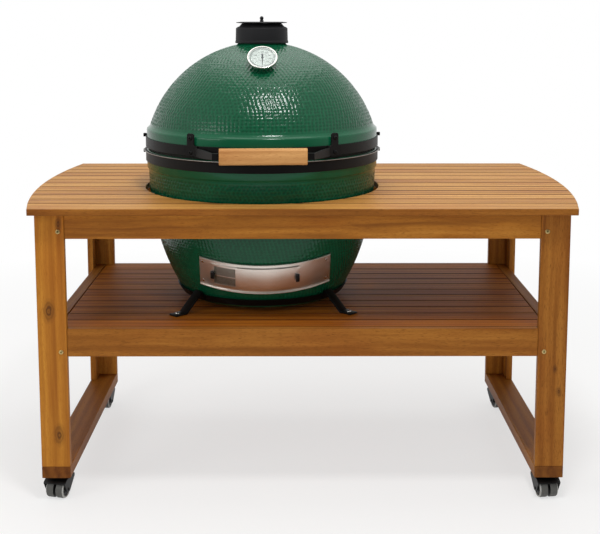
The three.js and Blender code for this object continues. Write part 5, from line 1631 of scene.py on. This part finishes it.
# What the base holds: firebox, charcoal grate, fire ring and cooking grid
FIRE_CLEARANCE = 0.014
FIRE_WALL = 0.022
FIRE_SOLE = 0.048
WAIST_HEIGHT = 0.062
LEDGE_HEIGHT = 0.082
RING_OVERHANG = 0.0065
ASH_HALF = 0.050
ASH_HEIGHT = 0.072
hollow_levels = spaced(BASE_BOTTOM + BASE_FLOOR, RIM_FOOT, 4)


def hollow_radius(z):
    """The inner radius of the base at a height."""
    return egg_radius(z) - BASE_WALL / math.cos(egg_lean(z))


def fire_wall(z):
    """The firebox's outer radius: a clearance inside the base's wall, straight between its levels."""
    step = hollow_levels[1] - hollow_levels[0]
    run = min(max(int((z - hollow_levels[0]) / step), 0), len(hollow_levels) - 2)
    share = (z - hollow_levels[run]) / step
    near, far = hollow_radius(hollow_levels[run]), hollow_radius(hollow_levels[run + 1])
    return near * (1 - share) + far * share - FIRE_CLEARANCE


low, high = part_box("firebox")
waist = low.z + WAIST_HEIGHT
ledge = low.z + LEDGE_HEIGHT
foot_radius, waist_radius, top_radius = fire_wall(low.z), fire_wall(waist), fire_wall(high.z)
ledge_share = (ledge - waist) / (high.z - waist)
ledge_radius = waist_radius + (top_radius - waist_radius) * ledge_share - FIRE_WALL
bore = foot_radius - FIRE_SOLE
bm = bmesh.new()
turned(bm, [
    (bore, low.z), (foot_radius, low.z), (waist_radius, waist), (top_radius, high.z),
    (top_radius - FIRE_WALL, high.z), (ledge_radius, ledge), (bore, ledge), (bore, low.z),
], 96, edge=0.002)
firebox = finished(bm, "clay_firebox", [fire_clay], MAIN_BODY, ["firebox"], KAMADO)
bm = bmesh.new()
block(bm, (-ASH_HALF, -0.35, low.z - 0.02), (ASH_HALF, 0.0, low.z + ASH_HEIGHT), 0, KAMADO)
cut_out(firebox, bm)

low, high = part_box("charcoal_grate")
GRATE_RADIUS = ledge_radius - 0.013
GRATE_REACH = GRATE_RADIUS - 0.016
SLOT_PITCH = 0.034
SLOT_HALF = 0.006
bm = bmesh.new()
turned(bm, [
    (0, low.z), (GRATE_RADIUS - 0.001, low.z), (GRATE_RADIUS, low.z + 0.001), (GRATE_RADIUS, high.z - 0.001),
    (GRATE_RADIUS - 0.001, high.z), (0, high.z),
], 72)
grate = finished(bm, "iron_charcoal_grate", [raw_iron], MAIN_BODY, ["charcoal_grate"], KAMADO)
slots = int(2 * GRATE_REACH / SLOT_PITCH)
bm = bmesh.new()
for i in range(slots):
    x = (i - (slots - 1) / 2) * SLOT_PITCH
    reach = math.sqrt(GRATE_REACH**2 - x * x)
    block(bm, (x - SLOT_HALF, -reach, low.z - 0.01), (x + SLOT_HALF, reach, high.z + 0.01), 0, KAMADO)
cut_out(grate, bm)

low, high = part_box("fire_ring")
RING_RADIUS = top_radius + RING_OVERHANG
bm = bmesh.new()
turned(bm, [
    (RING_RADIUS - FIRE_WALL, low.z), (RING_RADIUS, low.z), (RING_RADIUS, high.z),
    (RING_RADIUS - FIRE_WALL, high.z), (RING_RADIUS - FIRE_WALL, low.z),
], 96, edge=0.003)
finished(bm, "clay_fire_ring", [fire_clay], MAIN_BODY, ["fire_ring"], KAMADO)

low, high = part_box("cooking_grid")
GRID_RADIUS = RING_RADIUS - 0.008
HOOP = 0.0035
ROD = 0.0025
ROD_PITCH = 0.0125
CROSS_SHARE = 0.45


def rod(bm, reach, place):
    """Adds a round rod that reaches both ways from its place."""
    bmesh.ops.create_cone(
        bm, cap_ends=True, segments=10, radius1=ROD, radius2=ROD, depth=2 * reach, matrix=place,
    )


bm = bmesh.new()
hoop = (GRID_RADIUS - HOOP, (low.z + high.z) / 2)
turned(bm, arc(hoop, HOOP, 0.0, math.tau, 12), 96)
lay_y = Matrix.Rotation(math.pi / 2, 4, "X")
rods = int(2 * (GRID_RADIUS - 0.008) / ROD_PITCH)
for i in range(rods):
    x = (i - (rods - 1) / 2) * ROD_PITCH
    reach = math.sqrt((GRID_RADIUS - 0.004) ** 2 - x * x)
    rod(bm, reach, Matrix.Translation((x, 0, high.z - ROD)) @ lay_y)
for y in (-GRID_RADIUS * CROSS_SHARE, GRID_RADIUS * CROSS_SHARE):
    reach = math.sqrt((GRID_RADIUS - 0.004) ** 2 - y * y)
    rod(bm, reach, Matrix.Translation((0, y, low.z + ROD)) @ ALONG_X)
finished(
    bm, "steel_cooking_grid", [polished_steel], MAIN_BODY, ["cooking_grid"], KAMADO,
    clean=False,
)

# Floor, backdrop and light: a white studio with a small key lamp overhead and larger soft lamps
# in front, at the left and above
FLOOR_RADIUS = 3.2


def seen_directly(tree):
    """The rays, and whether one reaches the camera straight, by a mirror or through glass."""
    rays = add(tree, "LightPath")
    pair = {0: rays.outputs["Is Camera Ray"], 1: rays.outputs["Is Glossy Ray"]}
    seen = add(tree, "Math", pair, operation="MAXIMUM")
    pair = {0: seen.outputs[0], 1: rays.outputs["Is Transmission Ray"]}
    return rays, add(tree, "Math", pair, operation="MAXIMUM")


floor_material, tree, shader = material("studio_floor")
shader.inputs["Base Color"].default_value = linear("f1f0ee")
shader.inputs["Roughness"].default_value = 0.9
place = add(tree, "TexCoord").outputs["Object"]
away = add(tree, "VectorMath", {0: place}, operation="LENGTH")
# Near the object the floor is part white, so that shadows show; far off it is wholly white
whiteness = add(tree, "MapRange", {
    "Value": away.outputs["Value"], "From Min": 0.9, "From Max": FLOOR_RADIUS * 0.9,
    "To Min": 0.62, "To Max": 1.0,
})
rays, seen = seen_directly(tree)
share = add(tree, "Math", {0: seen.outputs[0], 1: whiteness.outputs[0]}, operation="MULTIPLY")
white = add(tree, "Emission", {"Color": grey(1.0), "Strength": 1.0})
mixed = add(tree, "MixShader", {0: share.outputs[0], 1: shader.outputs["BSDF"], 2: white.outputs[0]})
tree.links.new(mixed.outputs[0], tree.nodes["Material Output"].inputs["Surface"])
bm = bmesh.new()
bmesh.ops.create_circle(bm, cap_ends=True, segments=96, radius=FLOOR_RADIUS)
mesh = bpy.data.meshes.new("floor")
bm.to_mesh(mesh)
bm.free()
mesh.materials.append(floor_material)
floor = bpy.data.objects.new("floor", mesh)
bpy.context.scene.collection.objects.link(floor)

world = bpy.data.worlds.new("studio")
world.use_nodes = True
bpy.context.scene.world = world
tree = world.node_tree
tree.nodes.clear()
rays, seen = seen_directly(tree)
# What shiny surfaces show of the room in front of the object is dim, as behind a photographer's camera
sky = add(tree, "TexCoord").outputs["Generated"]
way = add(tree, "VectorMath", {0: sky, 1: (0.0, -1.0, -0.35)}, operation="DOT_PRODUCT")
dim = add(tree, "MapRange", {
    "Value": way.outputs["Value"], "From Min": 0.15, "From Max": 0.8, "To Max": 0.88,
})
held_back = add(tree, "Math", {0: dim.outputs[0], 1: rays.outputs["Is Glossy Ray"]}, operation="MULTIPLY")
bright = add(tree, "Math", {0: 1.0, 1: held_back.outputs[0]}, operation="SUBTRACT")
soft = add(tree, "Background", {"Color": grey(1.0), "Strength": 0.45})
plain = add(tree, "Background", {"Color": grey(1.0), "Strength": bright.outputs[0]})
chosen = add(tree, "MixShader", {0: seen.outputs[0], 1: soft.outputs[0], 2: plain.outputs[0]})
add(tree, "OutputWorld", {"Surface": chosen.outputs[0]})


def softbox(name, place, aim, size, power, mirrored=True):
    """A square lamp at a place, turned to its aim, and shown or not in mirrors."""
    lamp = bpy.data.lights.new(name, "AREA")
    lamp.shape = "SQUARE"
    lamp.size = size
    lamp.energy = power
    held = bpy.data.objects.new(name, lamp)
    held.location = place
    held.rotation_euler = (Vector(aim) - Vector(place)).to_track_quat("-Z", "Y").to_euler()
    held.visible_glossy = mirrored
    bpy.context.scene.collection.objects.link(held)


softbox("key_lamp", (0.25, -1.4, 3.1), (0, 0, 0.8), 0.45, 36)
softbox("front_lamp", (0.3, -3.9, 1.0), (0, 0, 0.6), 2.4, 25, mirrored=False)
softbox("left_lamp", (-2.6, -2.2, 2.0), (-0.1, 0, 0.7), 1.4, 22)
softbox("top_lamp", (0.0, 0.6, 3.4), (0, 0, 0.8), 2.4, 42)

# Any node without a piece of its own keeps its shape and takes a finished coat
SLOT_COATS = {
    "top_wood": top_wood, "frame_wood": frame_wood, "shelf_wood": shelf_wood, "handle_wood": handle_wood,
    "glazed_ceramic": glaze, "fire_clay": fire_clay, "black_steel": powder_coat, "cast_iron": cast_iron,
    "stainless_steel": brushed_steel, "felt": felt, "caster_plastic": black_nylon, "caster_tread": tyre_grey,
    "dial_steel": polished_steel, "needle_plastic": needle_lacquer, "lens_glass": dial_glass,
}
slot_of = {part["node"]: part["material_slot"] for part in frame["record"]["subparts"]}
for name, node in frame["nodes"].items():
    node.data.materials.clear()
    node.data.materials.append(SLOT_COATS[slot_of[name]])
